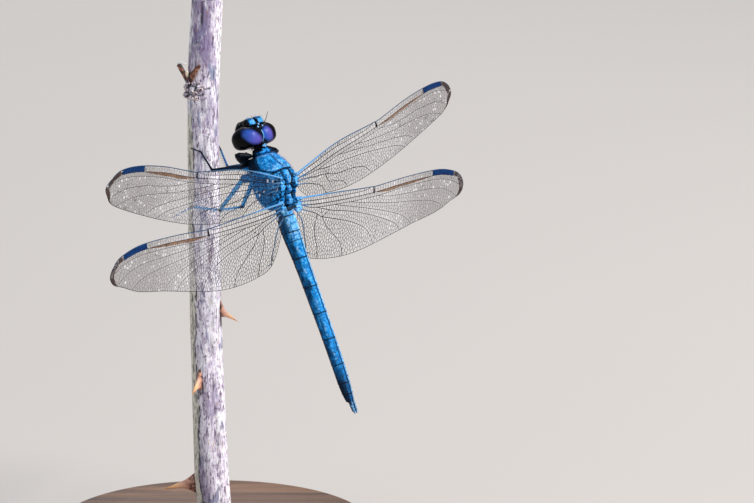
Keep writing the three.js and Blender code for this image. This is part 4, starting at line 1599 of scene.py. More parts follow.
@dataclass
class Wing:
    """One wing: its film, veins, spot, smoky tip and amber streak."""

    name: str
    plan: WingPlan
    net: Mesh2D
    lines: dict[str, Array]
    side: int
    sweep: float
    dihedral: float
    pitch: float
    film_thick: float = 0.03
    cross_thick: float = 0.072
    edge_thick: float = 0.085
    spot_thick: float = 0.17
    tip_thick: float = 0.045
    amber_thick: float = 0.042
    dome: float = 0.07
    haze_jitter: float = 0.04
    bright_share: float = 0.13

    def axes(self) -> Array:
        """The wing's span, chord and upward directions in the insect's frame, as rows."""
        sweep, dihedral, pitch = np.radians((self.sweep, self.dihedral, self.pitch))
        level_span = math.cos(sweep)
        along = np.array(
            (math.sin(sweep), self.side * level_span * math.cos(dihedral), level_span * math.sin(dihedral))
        )
        level = unit(np.array((-1.0, 0, 0)) + along * along[0])
        upwards = np.cross(along, level) * self.side
        chord = level * math.cos(pitch) - upwards * math.sin(pitch)
        return np.array((along, chord, np.cross(along, chord) * self.side))

    def lift(self, flat: Array) -> Array:
        """The height of the pleated film over the wing's plane."""
        total = np.full(len(flat), 1 / (distance_to_line(flat, self.edge()) ** 2 + 0.05))
        height = np.zeros(len(flat))
        for vein in self.plan.veins:
            weight = 1 / (distance_to_line(flat, self.lines[vein.name]) ** 2 + 0.03)
            total += weight
            height += weight * vein.lift
        return height / total

    def edge(self) -> Array:
        """The wing's closed outline."""
        return np.vstack([self.lines["outline"], self.lines["outline"][:1]])

    def solid(self, flat: Array, height: Array | float = 0.0) -> Array:
        """Places points given by span and chord, raised over the film by a height."""
        x, y, z = self.plan.root
        local = np.column_stack([flat, self.lift(flat) + height])
        return np.array((x, self.side * y, z)) + local @ self.axes()

    def build(self) -> None:
        """Makes all the wing's pieces."""
        middles = np.array([self.net.points[cell].mean(0) for cell in self.net.cells])
        self.make_film(middles)
        self.make_veins()
        self.make_spot()
        self.make_tip()
        self.make_amber()
        log.info("%s: %d cells on a %g mm wing", self.name, len(middles), self.plan.length)

    def make_film(self, middles: Array) -> None:
        """The film: each cell is slightly domed or dished between its veins."""
        shuffle = np.random.default_rng(11)
        flat = self.net.points
        domes = shuffle.uniform(-self.dome, self.dome, len(middles))
        points = np.vstack([self.solid(flat), self.solid(middles, domes)])
        faces = []
        for k, cell in enumerate(self.net.cells):
            hub = len(flat) + k
            faces.extend((a, b, hub) for a, b in zip(cell, cell[1:] + cell[:1]))
        film = Bench.mesh(f"{self.name}_film", points, faces)
        spans = np.concatenate([flat[:, 0], middles[:, 0]]) / self.plan.length
        haze = self.haze(spans + shuffle.uniform(-self.haze_jitter, self.haze_jitter, len(spans)))
        # Some cells get a painted glint: whiter and less clear film.
        chosen = shuffle.uniform(size=len(middles)) < self.bright_share
        bright = chosen * shuffle.uniform(0.3, 1.0, len(middles))
        Bench.paint(film, haze=haze, glint=np.concatenate([np.zeros(len(flat)), bright]))
        Bench.close(film, fill=False)
        Bench.apply(film, "SOLIDIFY", thickness=self.film_thick, offset=0.0)
        Bench.hand_over(film, Film(), "wing_membrane", [self.name])

    @staticmethod
    def haze(spans: Array) -> Array:
        """How milky the wing is at shares of its span."""
        return np.interp(spans, (0.2, 0.36, 0.52, 0.74), (0, 0.35, 0.5, 1))

    def rod(self, start: Array, end: Array, thick: tuple[float, float], sides: int) -> tuple:
        """The points and faces of one short closed rod."""
        way = unit(end - start)
        side = unit(np.cross(way, self.axes()[2]))
        up = np.cross(side, way)
        turn = np.arange(sides) * 2 * np.pi / sides + np.pi / 4
        ring = np.outer(np.cos(turn), side) + np.outer(np.sin(turn), up)
        points = np.vstack([start + ring * thick[0] / 2, end + ring * thick[1] / 2])
        walls = [(i, (i + 1) % sides, sides + (i + 1) % sides, sides + i) for i in range(sides)]
        return points, [tuple(range(sides))[::-1], tuple(range(sides, 2 * sides)), *walls]

    def make_veins(self) -> None:
        """The net of veins: thin rods for the cells, tapering tubes for the long veins and the edge."""
        flat = self.net.points
        solid = self.solid(flat)
        points: list[Array] = []
        faces: list[tuple[int, ...]] = []
        haze: list[Array] = []
        size = self.plan.length
        count = 0
        for (a, b), owner in zip(self.net.edges, self.net.owners):
            if owner not in ("cross", "triangle"):
                continue
            thick = self.cross_thick * float(np.interp(flat[a, 0] / size, (0, 0.25, 0.75), (0.92, 0.9, 0.62)))
            thick *= 1.5 if owner == "triangle" else 1.0
            made, walls = self.rod(solid[a], solid[b], (thick, thick), 4)
            points.append(made)
            faces.extend(tuple(i + count for i in wall) for wall in walls)
            count += len(made)
            haze.append(np.full(len(made), float(smooth(0.35, 0.75, flat[a, 0] / size))))
        small = Bench.mesh("small_veins", np.vstack(points), faces)
        Bench.paint(small, haze=np.concatenate(haze))
        tubes = [small]
        for vein in self.plan.veins:
            line = self.lines[vein.name]
            thick = vein.thick * np.interp(line[:, 0] / size, (0, 0.12, 0.5, 1), (2.4, 1.5, 1.0, 0.75))
            tubes.append(self.long_vein(line, thick, 0.5 * smooth(0.1, 0.02, line[:, 0] / size)))
        rim = self.edge()
        front = rim[:, 1] < np.interp(rim[:, 0], (0, size), (0.02 * size, 0.06 * size))
        share = rim[:, 0] / size
        costa = np.interp(share, (0, 0.12, 0.2, 0.5, 0.95, 1), (0.34, 0.27, 0.19, 0.15, 0.12, 0.08))
        thick = np.where(front, costa, self.edge_thick)
        bloom = np.where(front, np.interp(share, (0, 0.12, 0.2, 0.3, 0.5), (1, 0.95, 0.5, 0.3, 0.2)), 0)
        tubes.append(self.long_vein(rim, thick, bloom))
        nodus = self.plan.nodus * size
        start, end = (np.array((nodus, self.chord(name, nodus))) for name in ("costa", "radius"))
        cut = start + np.linspace(-0.04, 1.08, 7)[:, None] * (end - start)
        cut[:, 0] += 0.22 * np.sin(np.linspace(0, np.pi, 7))
        tubes.append(self.long_vein(cut, np.linspace(0.22, 0.3, 7), np.zeros(7)))
        veins = Bench.join(f"{self.name}_veins", tubes)
        Bench.hand_over(veins, Vein(), "wing_membrane", crease=45)

    def chord(self, name: str, span: float) -> float:
        """A line's chord at a span, both in millimetres."""
        line = self.lines[name]
        return float(np.interp(span, line[:, 0], line[:, 1]))

    def long_vein(self, line: Array, thick: Array, pale: Array) -> Piece:
        """A six-sided tube along a line in the wing's plane."""
        keep = np.concatenate([[True], np.linalg.norm(np.diff(line, axis=0), axis=1) > 1e-3])
        line, thick, pale = line[keep], thick[keep], pale[keep]
        path = self.solid(line)
        tube = Bench.sweep("vein", path, thick / 2, 6, round_ends=False)
        nearest = np.argmin(((Bench.points(tube)[:, None] - path[None]) ** 2).sum(2), axis=1)
        Bench.paint(tube, pale=pale[nearest])
        return tube

    def band(self, front: Array, rear: Array, thick: float, name: str) -> Piece:
        """A closed strip of even thickness between two lines with as many points each."""
        flat = np.vstack([front, (front * 2 + rear) / 3, (front + rear * 2) / 3, rear])
        n = len(front)
        starts = [row * n + i for row in range(3) for i in range(n - 1)]
        faces = [(k, k + 1, k + n + 1, k + n) for k in starts]
        strip = Bench.mesh(name, self.solid(flat), faces)
        Bench.close(strip, fill=False)
        return Bench.apply(strip, "SOLIDIFY", thickness=thick, offset=0.0)

    def between(self, front: str, rear: str, start: float, end: float, steps: int) -> tuple[Array, Array]:
        """Two lines over the same stretch of the span, given as shares of it."""
        spans = np.linspace(start, end, steps) * self.plan.length
        return tuple(np.column_stack([spans, [self.chord(name, s) for s in spans]]) for name in (front, rear))

    def make_spot(self) -> None:
        """The dark spot between the leading edge and the vein behind it."""
        front, rear = self.between("costa", "radius", *self.plan.stigma, 22)
        spot = self.band(front, rear, self.spot_thick, f"{self.name}_spot")
        Bench.apply(spot, "BEVEL", width=0.05, segments=2, limit_method="ANGLE", angle_limit=math.radians(50))
        Bench.hand_over(spot, Stain("wing_spot"), "wing_membrane", crease=50)

    def make_tip(self) -> None:
        """The smoky margin round the wing's tip."""
        size = self.plan.length
        rim = self.lines["outline"]
        behind = rim[:, 1] > 0.03 * size
        low = int(np.argmin(np.abs(rim[:, 0] - self.plan.stigma[1] * size) + 99 * behind))
        last = int(np.flatnonzero(rim[:, 0] > 0.955 * size)[-1])
        edge = rim[low : last + 1]
        ways = np.gradient(edge, axis=0)
        inwards = np.column_stack([-ways[:, 1], ways[:, 0]]) / np.linalg.norm(ways, axis=1)[:, None]
        if inwards[len(edge) // 2, 0] > 0:
            inwards = -inwards
        share = np.linspace(0, 1, len(edge))
        depth = np.interp(share, (0, 0.15, 0.55, 0.8, 1), (0.55, 0.75, 0.95, 0.7, 0.05))
        inner = edge + inwards * depth[:, None]
        tip = self.band(edge, inner, self.tip_thick, f"{self.name}_smoky_tip")
        Bench.hand_over(tip, SMOKE, "wing_membrane", crease=60)

    def make_amber(self) -> None:
        """The amber streak behind the leading row of cells, from the nodus to the spot."""
        start, end = self.plan.nodus + 0.02, self.plan.stigma[0] - 0.015
        front, rear = self.between("radius", "radial_sector", start, end, 60)
        share = np.linspace(0, 1, len(front))[:, None]
        width = np.interp(share, (0, 0.25, 0.7, 1), (0.08, 0.72, 0.6, 0.1))
        front = front + 0.04 * (rear - front)
        rear = front + width * (rear - front)
        amber = self.band(front, rear, self.amber_thick, f"{self.name}_amber_streak")
        Bench.hand_over(amber, AMBER, "wing_membrane", crease=60)


@dataclass
class Wings:
    """The four wings, each pair sharing one net of veins."""

    poses: tuple[tuple[str, WingPlan, int, float, float, float], ...] = (
        ("wing_fore_left", FORE, 1, 11.4, 6.1, 34.9),
        ("wing_fore_right", FORE, -1, 12.2, 4.5, 31.7),
        ("wing_hind_left", HIND, 1, -1.6, -1.1, 27.0),
        ("wing_hind_right", HIND, -1, -4.6, 1.1, 30.8),
    )

    def build(self) -> None:
        """Makes the wings."""
        for plan in (FORE, HIND):
            venation = Venation(plan)
            net = venation.net()
            lines = {**venation.lines, "outline": venation.outline, "costa": venation.leading()}
            for name, own, side, sweep, dihedral, pitch in self.poses:
                if own is plan:
                    Wing(name, plan, net, lines, side, sweep, dihedral, pitch).build()


# ---- body


class Side(Enum):
    """The view in which a groove is drawn."""

    FLANK = "x and z, on both flanks"
    BACK = "x and y, on the back"
    FACE = "y and z, on both halves of the face"


@dataclass(frozen=True)
class Mark:
    """A groove, or a ridge where its depth is negative, along a line on one side of the body; its pale share
    is a painted highlight along the line.
    """

    side: Side
    line: Pairs
    width: float
    depth: float
    dark: float = 0.0
    pale: float = 0.0


THORAX: Table = (
    (10.9, 0.35, -2.6, 1.5),
    (10.5, 0.75, -3.25, 2.1),
    (9.6, 1.45, -3.85, 2.75),
    (8.4, 2.35, -4.2, 3.25),
    (7.2, 3.05, -4.3, 3.45),
    (6.1, 3.0, -4.3, 3.45),
    (4.5, 2.45, -4.15, 3.3),
    (3.2, 2.0, -3.75, 2.95),
    (2.2, 1.65, -3.1, 2.45),
    (1.5, 1.4, -2.3, 1.85),
)
SEGMENT_EDGES = (1.3, 0.0, -2.7, -7.2, -12.2, -16.8, -21.3, -25.8, -29.0, -30.9, -32.3)
ABDOMEN: Table = (
    (1.3, 1.35, 1.2, -1.75),
    (0.0, 1.42, 1.22, -2.1),
    (-2.7, 1.38, 1.18, -2.15),
    (-5.0, 1.3, 1.12, -1.95),
    (-7.2, 1.24, 1.04, -1.72),
    (-10.0, 1.23, 1.05, -1.5),
    (-15.0, 1.23, 1.1, -1.24),
    (-20.0, 1.2, 1.12, -1.0),
    (-25.8, 1.18, 1.12, -0.85),
    (-29.0, 1.13, 1.0, -0.8),
    (-31.0, 0.95, 0.84, -0.66),
    (-32.3, 0.76, 0.7, -0.42),
)
FRONS_LOBES = mirrored(Egg(16.36, 0.92, -0.85, 1.02, 1.05, 1.1, front=2.5))
FRONT_LINE = ((7.4, 2.3), (7.9, 1.2), (8.5, 0.2), (9.5, -0.4), (10.4, -0.8), (11.0, -1.1))
SEAMS = (
    Mark(Side.BACK, ((11.2, 0), (7.9, 0)), 0.09, -0.14, dark=0.75),
    # The two pale lines beside the mid-dorsal carina are painted highlights, the right one wider.
    Mark(Side.BACK, ((11.0, 0.24), (7.9, 0.22)), 0.11, 0.0, pale=0.45),
    Mark(Side.BACK, ((11.0, -0.42), (7.9, -0.4)), 0.26, 0.0, pale=0.6),
    Mark(Side.BACK, ((7.2, 2.6), (7.5, 1.2), (7.6, 0), (7.5, -1.2), (7.2, -2.6)), 0.2, 0.26, dark=1.0),
    Mark(Side.BACK, ((7.3, 0.95), (6.1, 0.95), (4.9, 0.8), (3.4, 0.8), (1.9, 0.9)), 0.24, 0.3, dark=1.0),
    Mark(Side.BACK, ((7.3, -0.8), (6.1, -0.95), (4.9, -0.8), (3.4, -0.8), (1.9, -0.9)), 0.36, 0.34, dark=1.0),
    Mark(Side.BACK, ((4.95, 1.3), (4.85, 0), (4.95, -1.3)), 0.12, 0.2, dark=0.95),
    Mark(Side.BACK, ((3.5, 1.2), (3.4, 0), (3.5, -1.2)), 0.14, 0.22, dark=0.95),
    Mark(Side.BACK, ((1.75, 1.5), (1.6, 0), (1.75, -1.5)), 0.16, 0.2, dark=0.8),
    Mark(Side.BACK, ((6.5, 1.3), (5.9, 1.6), (5.7, 2.6)), 0.12, 0.14, dark=0.9),
    Mark(Side.BACK, ((6.5, -1.3), (5.9, -1.6), (5.7, -2.6)), 0.12, 0.14, dark=0.9),
    Mark(Side.BACK, ((3.5, 1.0), (3.2, 1.6), (2.9, 2.6)), 0.14, 0.14, dark=0.9),
    Mark(Side.BACK, ((3.5, -1.0), (3.2, -1.6), (2.9, -2.6)), 0.14, 0.14, dark=0.9),
    Mark(Side.FLANK, FRONT_LINE, 0.13, 0.16, dark=0.95),
    Mark(Side.FLANK, ((5.9, 2.1), (6.7, 0.2), (7.8, -2.0), (8.8, -4.2)), 0.12, 0.13, dark=0.8),
    Mark(Side.FLANK, ((3.6, 1.3), (4.6, -0.6), (5.8, -2.5), (6.9, -4.2)), 0.12, 0.13, dark=0.8),
    Mark(Side.FLANK, ((2.2, 0.6), (3.1, -1.4), (4.4, -3.4)), 0.1, 0.1, dark=0.6),
    Mark(Side.FLANK, ((7.0, -1.5), (6.8, -1.95)), 0.2, 0.2, dark=1.0),
)
FACE = (
    Mark(Side.FACE, ((0, 0.4), (0, -1.4)), 0.14, 0.24),
    Mark(Side.FACE, ((0, -1.25), (1.0, -1.2), (1.7, -1.0)), 0.1, 0.12),
    Mark(Side.FACE, ((0, -2.1), (0.9, -2.15), (1.4, -2.2)), 0.09, 0.12),
    Mark(Side.FACE, ((0, -2.75), (0.8, -2.75), (1.2, -2.7)), 0.09, 0.12),
    Mark(Side.FACE, ((0, -2.9), (0, -3.7)), 0.08, 0.08),
)
MEMBRANE = Egg(0.35, -0.45, 1.0, 0.6, 0.6, 0.6)
NAPE = Egg(12.35, -0.62, -0.3, 0.36, 0.75, 0.45)


@dataclass
class Coat:
    """Sparse fine hair on the thorax and behind the head: thin closed tufts that wear the skin's colours,
    with its painted light and shade.
    """

    tufts: int = 2600
    longest: float = 0.58
    thick: float = 0.02
    patch: float = 0.003
    seed: int = 23
    painted_layers: tuple[str, ...] = ("bloom", "pale", "dark", "warm")

    def build(self, skin: Piece) -> None:
        """Grows the tufts on a skin that still lies in the insect's frame."""
        places, facing = Bench.points(skin), Bench.normals(skin)
        shuffle = np.random.default_rng(self.seed)
        share = self.growth(places)
        roots = shuffle.choice(len(places), self.tufts, replace=False, p=share / share.sum())
        points: list[Array] = []
        for root in roots:
            out = facing[root]
            lean = np.array((-0.4, 0.0, 0.1)) + shuffle.uniform(-0.25, 0.25, 3)
            side = unit(np.cross(out, (0.31, 0.2, 0.93)))
            fore = np.cross(out, side)
            length = self.longest * shuffle.uniform(0.45, 1.0)
            turn = np.radians((0, 120, 240))
            ring = np.outer(np.cos(turn), side) + np.outer(np.sin(turn), fore)
            bend = places[root] + (out * 0.52 + lean * 0.25) * length
            tip = places[root] + (out * 0.85 + lean * 0.8) * length
            start = places[root] - out * 0.08
            points.append(np.vstack([start + ring * self.thick, bend + ring * self.thick * 0.6, tip]))
        corners = [(i, (i + 1) % 3) for i in range(3)]
        walls = [(0, 2, 1), *((a, b, 3 + b) for a, b in corners), *((a, 3 + b, 3 + a) for a, b in corners)]
        walls += [(3 + a, 3 + b, 6) for a, b in corners]
        faces = [tuple(7 * k + i for i in wall) for k in range(self.tufts) for wall in walls]
        coat = Bench.close(Bench.mesh("thorax_hair", np.vstack(points), faces), fill=False)
        nearest = np.repeat(roots, 7)
        for name in self.painted_layers:
            layer = np.zeros(len(places), np.float32)
            skin.data.attributes[name].data.foreach_get("value", layer)
            Bench.paint(coat, **{name: layer[nearest]})
        self.unwrap(coat, places[nearest], shuffle.uniform(-0.5, 0.5, (len(nearest), 2)))
        Bench.hand_over(coat, Cuticle("fine_hair", 0.2), "pruinose_cuticle")

    @staticmethod
    def growth(places: Array) -> Array:
        """How thickly hair grows at each vertex."""
        x, _, z = places.T
        front = window(6.5, 8.0, 10.9, 11.4, x)
        flank = window(2.0, 3.0, 10.0, 11.0, x) * window(-6.0, -4.5, -0.5, 0.5, z)
        nape = window(11.0, 11.3, 12.8, 13.2, x)
        brow = smooth(15.9, 16.2, x) * smooth(-1.6, -1.0, z) * 0.35
        return np.maximum.reduce([front, 0.6 * flank, 0.8 * nape, brow]) + 1e-9

    def unwrap(self, coat: Piece, roots: Array, jitter: Array) -> None:
        """Lays each tuft as a small patch at its root's place on a roll-out of the skin round its length."""
        turn = np.arctan2(roots[:, 1], roots[:, 2] + 1.5) / (2 * np.pi) + 0.5
        along = (roots[:, 0] + 35) / 53
        spots = np.column_stack([turn, along]) + jitter * self.patch
        layer = coat.data.uv_layers.new(name="OFBake")
        corners = np.zeros(len(coat.data.loops), np.int32)
        coat.data.loops.foreach_get("vertex_index", corners)
        layer.data.foreach_set("uv", spots[corners].astype(np.float32).ravel())


class Zones:
    """The skin's vertices, and the parts of the body that its colours are laid out by, as shares."""

    def __init__(self, places: Array, facing: Array) -> None:
        """Works out the shares from where the vertices lie and the way they face."""
        x, y, z = places.T
        self.places, self.facing = places, facing
        self.up = facing[:, 2]
        self.trunk = window(1.0, 1.5, 11.3, 11.7, x)
        self.head = smooth(11.9, 12.2, x)
        self.tail = 1 - smooth(1.0, 1.5, x)
        self.back = smooth(0.25, 0.6, self.up) * smooth(-1.0, 0.5, z)
        self.half = sample(ABDOMEN, x)[:, 1]
        self.over_line = z - np.interp(x, *np.array(FRONT_LINE).T)
        self.crumbs = grain(places, 2.1)
        self.rough = smooth(-0.15, 0.15, self.crumbs)
        self.nape = smooth(-0.2, 0.2, NAPE.inside(places))
        lobes = np.maximum(*(smooth(-0.1, -0.02, lobe.inside(places)) for lobe in FRONS_LOBES))
        self.brow = self.head * lobes * smooth(-0.2, 0.2, self.up) * window(0.24, 0.42, 1.5, 1.75, np.abs(y))
        self.brow *= smooth(16.0, 16.2, x) * smooth(-1.1, -0.75, z)
        self.seam = smooth(0.3, 0.2, np.abs(y)) * window(12.95, 13.15, 14.8, 14.95, x) * smooth(-0.1, 0.1, z)

    def wing_roots(self) -> list[Array]:
        """How deep each vertex lies in the roots of the fore wings and of the hind wings."""
        places = self.places.copy()
        places[:, 1] = np.abs(places[:, 1])
        roots = [(x - 0.7, y, z - 0.3) for x, y, z in (FORE.root, HIND.root)]
        return [Egg(*root, 1.5, 1.1, 0.8).inside(places) for root in roots]


@dataclass
class Body:
    """One skin from the face to the tail, in the insect's millimetres."""

    voxel: float = 0.096
    thorax_power: float = 2.15
    keel_power: float = 1.85
    belly_power: float = 2.5
    core: Egg = Egg(14.45, 0, -2.15, 2.2, 1.5, 1.7)
    vertex: Egg = Egg(15.3, 0, -0.1, 0.6, 0.7, 0.74)
    occiput: Egg = Egg(12.85, 0, -0.35, 0.4, 0.6, 0.55)
    eye_seam: Egg = Egg(14.2, 0, -0.3, 1.25, 0.2, 1.04)
    wing_boss: Triple = (1.4, 0.85, 0.55)
    hip_ball: Triple = (0.46, 0.46, 0.46)
    coxae: tuple[tuple[float, float, float, float], ...] = (
        (10.3, 1.2, -3.0, 0.68),
        (9.5, 1.3, -3.75, 0.78),
        (7.9, 1.35, -4.1, 0.93),
    )
    hips: tuple[Triple, ...] = (
        (10.75, 1.35, -3.85),
        (10.12, 1.5, -4.65),
        (8.25, 1.5, -5.65),
    )

    def build(self) -> None:
        """Makes the skin."""
        shells = [*self.head(), *self.front(), self.thorax(), *self.back_plates(), *self.wing_bases()]
        shells += [*self.hip_joints(), self.abdomen(), *self.tail()]
        skin = Bench.join("body_skin", shells)
        Bench.apply(skin, "REMESH", mode="VOXEL", voxel_size=self.voxel, adaptivity=0.0)
        Bench.apply(skin, "SMOOTH", factor=0.5, iterations=3)
        self.carve(skin)
        self.colour(skin)
        Coat().build(skin)
        nodes = ["head_capsule", "frons", "mouthparts", "prothorax", "thorax", "cercus_left", "cercus_right"]
        nodes += ["epiproct", *(f"abdomen_{i}" for i in range(1, 11))]
        Bench.hand_over(skin, Cuticle(), "pruinose_cuticle", nodes)

    def head(self) -> list[Piece]:
        """The head behind and between the eyes, the brow and the mouthparts."""
        forms = [
            self.core,
            self.vertex,
            self.occiput,
            self.eye_seam,
            *FRONS_LOBES,
            Egg(16.1, 0, -0.75, 1.0, 1.2, 0.95),
            Egg(16.25, 0, -1.75, 1.12, 1.8, 0.62, front=2.8),
            Egg(16.35, 0, -2.45, 1.02, 1.35, 0.55, front=2.8),
            Egg(16.2, 0, -3.3, 1.15, 1.5, 0.78, front=2.6),
            Egg(15.4, 0, -4.0, 1.3, 0.55, 0.45),
            *mirrored(
                Egg(15.85, 1.15, -3.0, 1.1, 0.72, 1.1),
                Egg(15.4, 0.72, -3.85, 1.35, 0.82, 0.62),
                Egg(13.4, 1.5, -2.6, 0.7, 0.9, 1.3),
            ),
        ]
        return [Bench.egg("head", form) for form in forms]

    def front(self) -> list[Piece]:
        """The neck and the small plates in front of the thorax."""
        path = spline([(10.9, 0, -1.5), (12.2, 0, -1.5), (13.6, 0, -1.55)], 6)
        neck = Bench.sweep("neck", path, np.full(len(path), 0.72), 28)
        forms = [
            Egg(11.5, 0, -1.35, 0.5, 1.3, 1.05),
            Egg(11.2, 0, -2.4, 0.5, 1.0, 0.7),
            Egg(12.38, -0.45, -0.62, 0.34, 0.7, 0.4),
            *mirrored(Egg(11.5, 0.6, -0.35, 0.46, 0.66, 0.5), Egg(11.75, 0.95, -1.4, 0.36, 0.5, 0.7)),
        ]
        return [neck, *(Bench.egg("front", form) for form in forms)]

    def thorax(self) -> Piece:
        """The thorax without its plates."""
        front, back = THORAX[0][0], THORAX[-1][0]

        def ring(along: Array, across: Array, up: Array) -> Array:
            """Places the thorax's points, drawn in to a dome at each end."""
            x = front - (front - back) * along
            _, top, bottom, half = sample(THORAX, x).T
            draw = np.minimum(1, np.minimum(along, 1 - along) * 26 + 0.3) ** 0.5
            middle = (top + bottom) / 2
            y = rounded(across, self.thorax_power) * half * draw
            z = middle + rounded(up, self.thorax_power) * (top - bottom) / 2 * draw
            return np.column_stack([x, y, z])

        return Bench.tube("thorax_shell", 70, 72, ring)

    def back_plates(self) -> list[Piece]:
        """The raised plates between the wings."""
        forms = [
            Egg(6.05, 0.08, 2.78, 1.0, 0.66, 0.55),
            Egg(5.2, 0.04, 2.6, 0.5, 0.42, 0.5),
            Egg(4.25, 0.08, 2.28, 0.68, 0.56, 0.5),
            Egg(2.5, 0.08, 1.62, 0.92, 0.62, 0.52),
            Egg(1.2, 0, 1.0, 0.55, 1.0, 0.35),
            *mirrored(
                Egg(6.5, 1.75, 2.35, 0.75, 0.5, 0.55),
                Egg(3.95, 1.45, 1.8, 0.75, 0.42, 0.5),
                Egg(2.9, 1.3, 1.45, 0.5, 0.35, 0.4),
            ),
        ]
        return [Bench.egg("plate", form) for form in forms]

    def wing_bases(self) -> list[Piece]:
        """The bosses and small plates that carry the wings."""
        forms = []
        for plan in (FORE, HIND):
            x, y, z = plan.root
            forms += mirrored(
                Egg(x - 0.8, y - 0.3, z - 0.85, *self.wing_boss),
                Egg(x + 0.02, y + 0.12, z - 0.14, 0.36, 0.72, 0.2, side=3),
                Egg(x - 0.72, y - 0.12, z - 0.33, 0.32, 0.55, 0.2, side=3),
                Egg(x - 1.42, y, z - 0.62, 0.34, 0.55, 0.2, side=3),
            )
        return [Bench.egg("base", form, 28, 20) for form in forms]

    def hip_joints(self) -> list[Piece]:
        """The first two short joints of each leg."""
        made = []
        for (x, y, z, radius), (hip_x, hip_y, hip_z) in zip(self.coxae, self.hips):
            for side in (1, -1):
                hip = (hip_x, side * hip_y, hip_z)
                path = spline([(x, side * y, z + 0.8), (x + 0.05, side * y * 1.04, z), hip], 6)
                made.append(Bench.sweep("hip", path, np.linspace(radius, radius * 0.55, len(path)), 28))
                made.append(Bench.egg("hip_ball", Egg(*hip, *self.hip_ball), 24, 16))
        return made

    def abdomen(self) -> Piece:
        """The abdomen, slightly fuller towards the back of each segment."""
        front, back = 2.3, SEGMENT_EDGES[-1]

        def ring(along: Array, across: Array, up: Array) -> Array:
            """Places the abdomen's points."""
            x = front - (front - back) * along
            _, half, top, bottom = sample(ABDOMEN, x).T
            draw = np.minimum(1, np.minimum(along, 1 - along) * 90 + 0.25) ** 0.5
            power = np.where(up > 0, self.keel_power, self.belly_power)
            middle, reach = (top + bottom) / 2, (top - bottom) / 2
            y = rounded(across, power) * (half - 0.02) * draw
            z = middle + rounded(up, power) * (reach - 0.02) * draw
            return np.column_stack([x, y, z])

        return Bench.tube("abdomen_shell", 300, 64, ring)

    def tail(self) -> list[Piece]:
        """The two upper appendages and the shorter one under them."""
        made = []
        for side in (1, -1):
            knots = [(-31.9, side * 0.28, 0.34), (-32.9, side * 0.3, 0.42), (-34.3, side * 0.26, 0.44)]
            path = spline(knots, 8)
            radii = np.interp(np.linspace(0, 1, 17), (0, 0.35, 0.75, 1), (0.26, 0.27, 0.25, 0.09))
            made.append(Bench.sweep("cercus", path, radii, 20))
        path = spline([(-31.9, 0, -0.08), (-32.9, 0, -0.12), (-33.8, 0, -0.06)], 8)
        made.append(Bench.sweep("epiproct", path, np.linspace(0.26, 0.15, 17), 20))
        return made

    def carve(self, skin: Piece) -> None:
        """Presses grooves and raises ridges, rims and keels."""
        places, facing = Bench.points(skin), Bench.normals(skin)
        shift = np.zeros(len(places))
        for mark, near, weight in self.seams(places, facing):
            shift -= weight * mark.depth * hill(near, mark.width)
        x, y, z = places.T
        front = window(7.5, 8.1, 10.4, 11.0, x) * smooth(0.0, 0.4, facing[:, 0] + facing[:, 2])
        shift += front * 0.16 * (hill(np.abs(y), 0.75, 1.25) - hill(y, 0.42))
        shift += window(1.4, 1.8, 10.8, 11.2, x) * 0.05 * grain(places, 0.9)
        crags = window(1.4, 1.8, 7.2, 7.6, x) * smooth(0.75, 1.1, np.abs(y)) * smooth(0.3, 0.9, z)
        shift += crags * (0.16 * grain(places, 1.7) + 0.07 * grain(places, 3.6))
        tail = smooth(1.1, 0.8, x)
        for edge in SEGMENT_EDGES[1:-1]:
            shift += tail * (0.055 * hill(x, 0.13, edge + 0.16) - 0.09 * hill(x, 0.075, edge))
        for band in (-1.35, -4.2, -8.4):
            shift += tail * 0.045 * hill(x, 0.1, band)
        _, half, top, bottom = sample(ABDOMEN, x).T
        on_back = smooth(0.2, 0.6, facing[:, 2]) * smooth(-29.5, -27.0, x)
        shift += tail * on_back * 0.06 * hill(y, 0.09)
        level = (z - (top + bottom) / 2) / (top - bottom)
        shift += tail * smooth(0.5, 0.8, np.abs(facing[:, 1])) * 0.05 * hill(level, 0.06, -0.12)
        under = smooth(0.3, 0.7, -facing[:, 2])
        shift -= tail * under * 0.1 * hill(np.abs(y), 0.09, 0.42 * half)
        for crease in FACE:
            near = distance_to_line(np.column_stack([np.abs(y), z]), crease.line)
            shift -= smooth(16.2, 16.6, x) * crease.depth * hill(near, crease.width)
        Bench.move(skin, places + facing * shift[:, None])

    def hollow_shade(self, skin: Piece, places: Array, facing: Array) -> Array:
        """How hollow the skin is at each vertex, evened out over its neighbours, for the painted shade in
        hollow places.
        """
        edges = np.empty(len(skin.data.edges) * 2, np.int32)
        skin.data.edges.foreach_get("vertices", edges)
        first, second = edges.reshape(-1, 2).T
        run = places[second] - places[first]
        run /= np.linalg.norm(run, axis=1)[:, None]
        count = len(places)
        shares = np.bincount(first, minlength=count) + np.bincount(second, minlength=count)
        rise = np.bincount(first, (run * facing[first]).sum(1), count)
        rise -= np.bincount(second, (run * facing[second]).sum(1), count)
        hollow = rise / shares
        for _ in range(4):
            total = np.bincount(first, hollow[second], count) + np.bincount(second, hollow[first], count)
            hollow = (hollow + total / shares) / 2
        return hollow

    def seams(self, places: Array, facing: Array) -> list[tuple[Mark, Array, Array]]:
        """Each thorax mark with every point's distance from it and its share of the mark."""
        trunk = window(0.8, 1.4, 11.1, 11.6, places[:, 0])
        found = []
        for mark in SEAMS:
            if mark.side is Side.BACK:
                flat = places[:, :2]
                weight = smooth(0.1, 0.45, facing[:, 2]) * smooth(-0.5, 0.2, places[:, 2])
            else:
                flat = places[:, (0, 2)]
                weight = smooth(0.25, 0.55, np.abs(facing[:, 1]))
            found.append((mark, distance_to_line(flat, mark.line), weight * trunk))
        return found

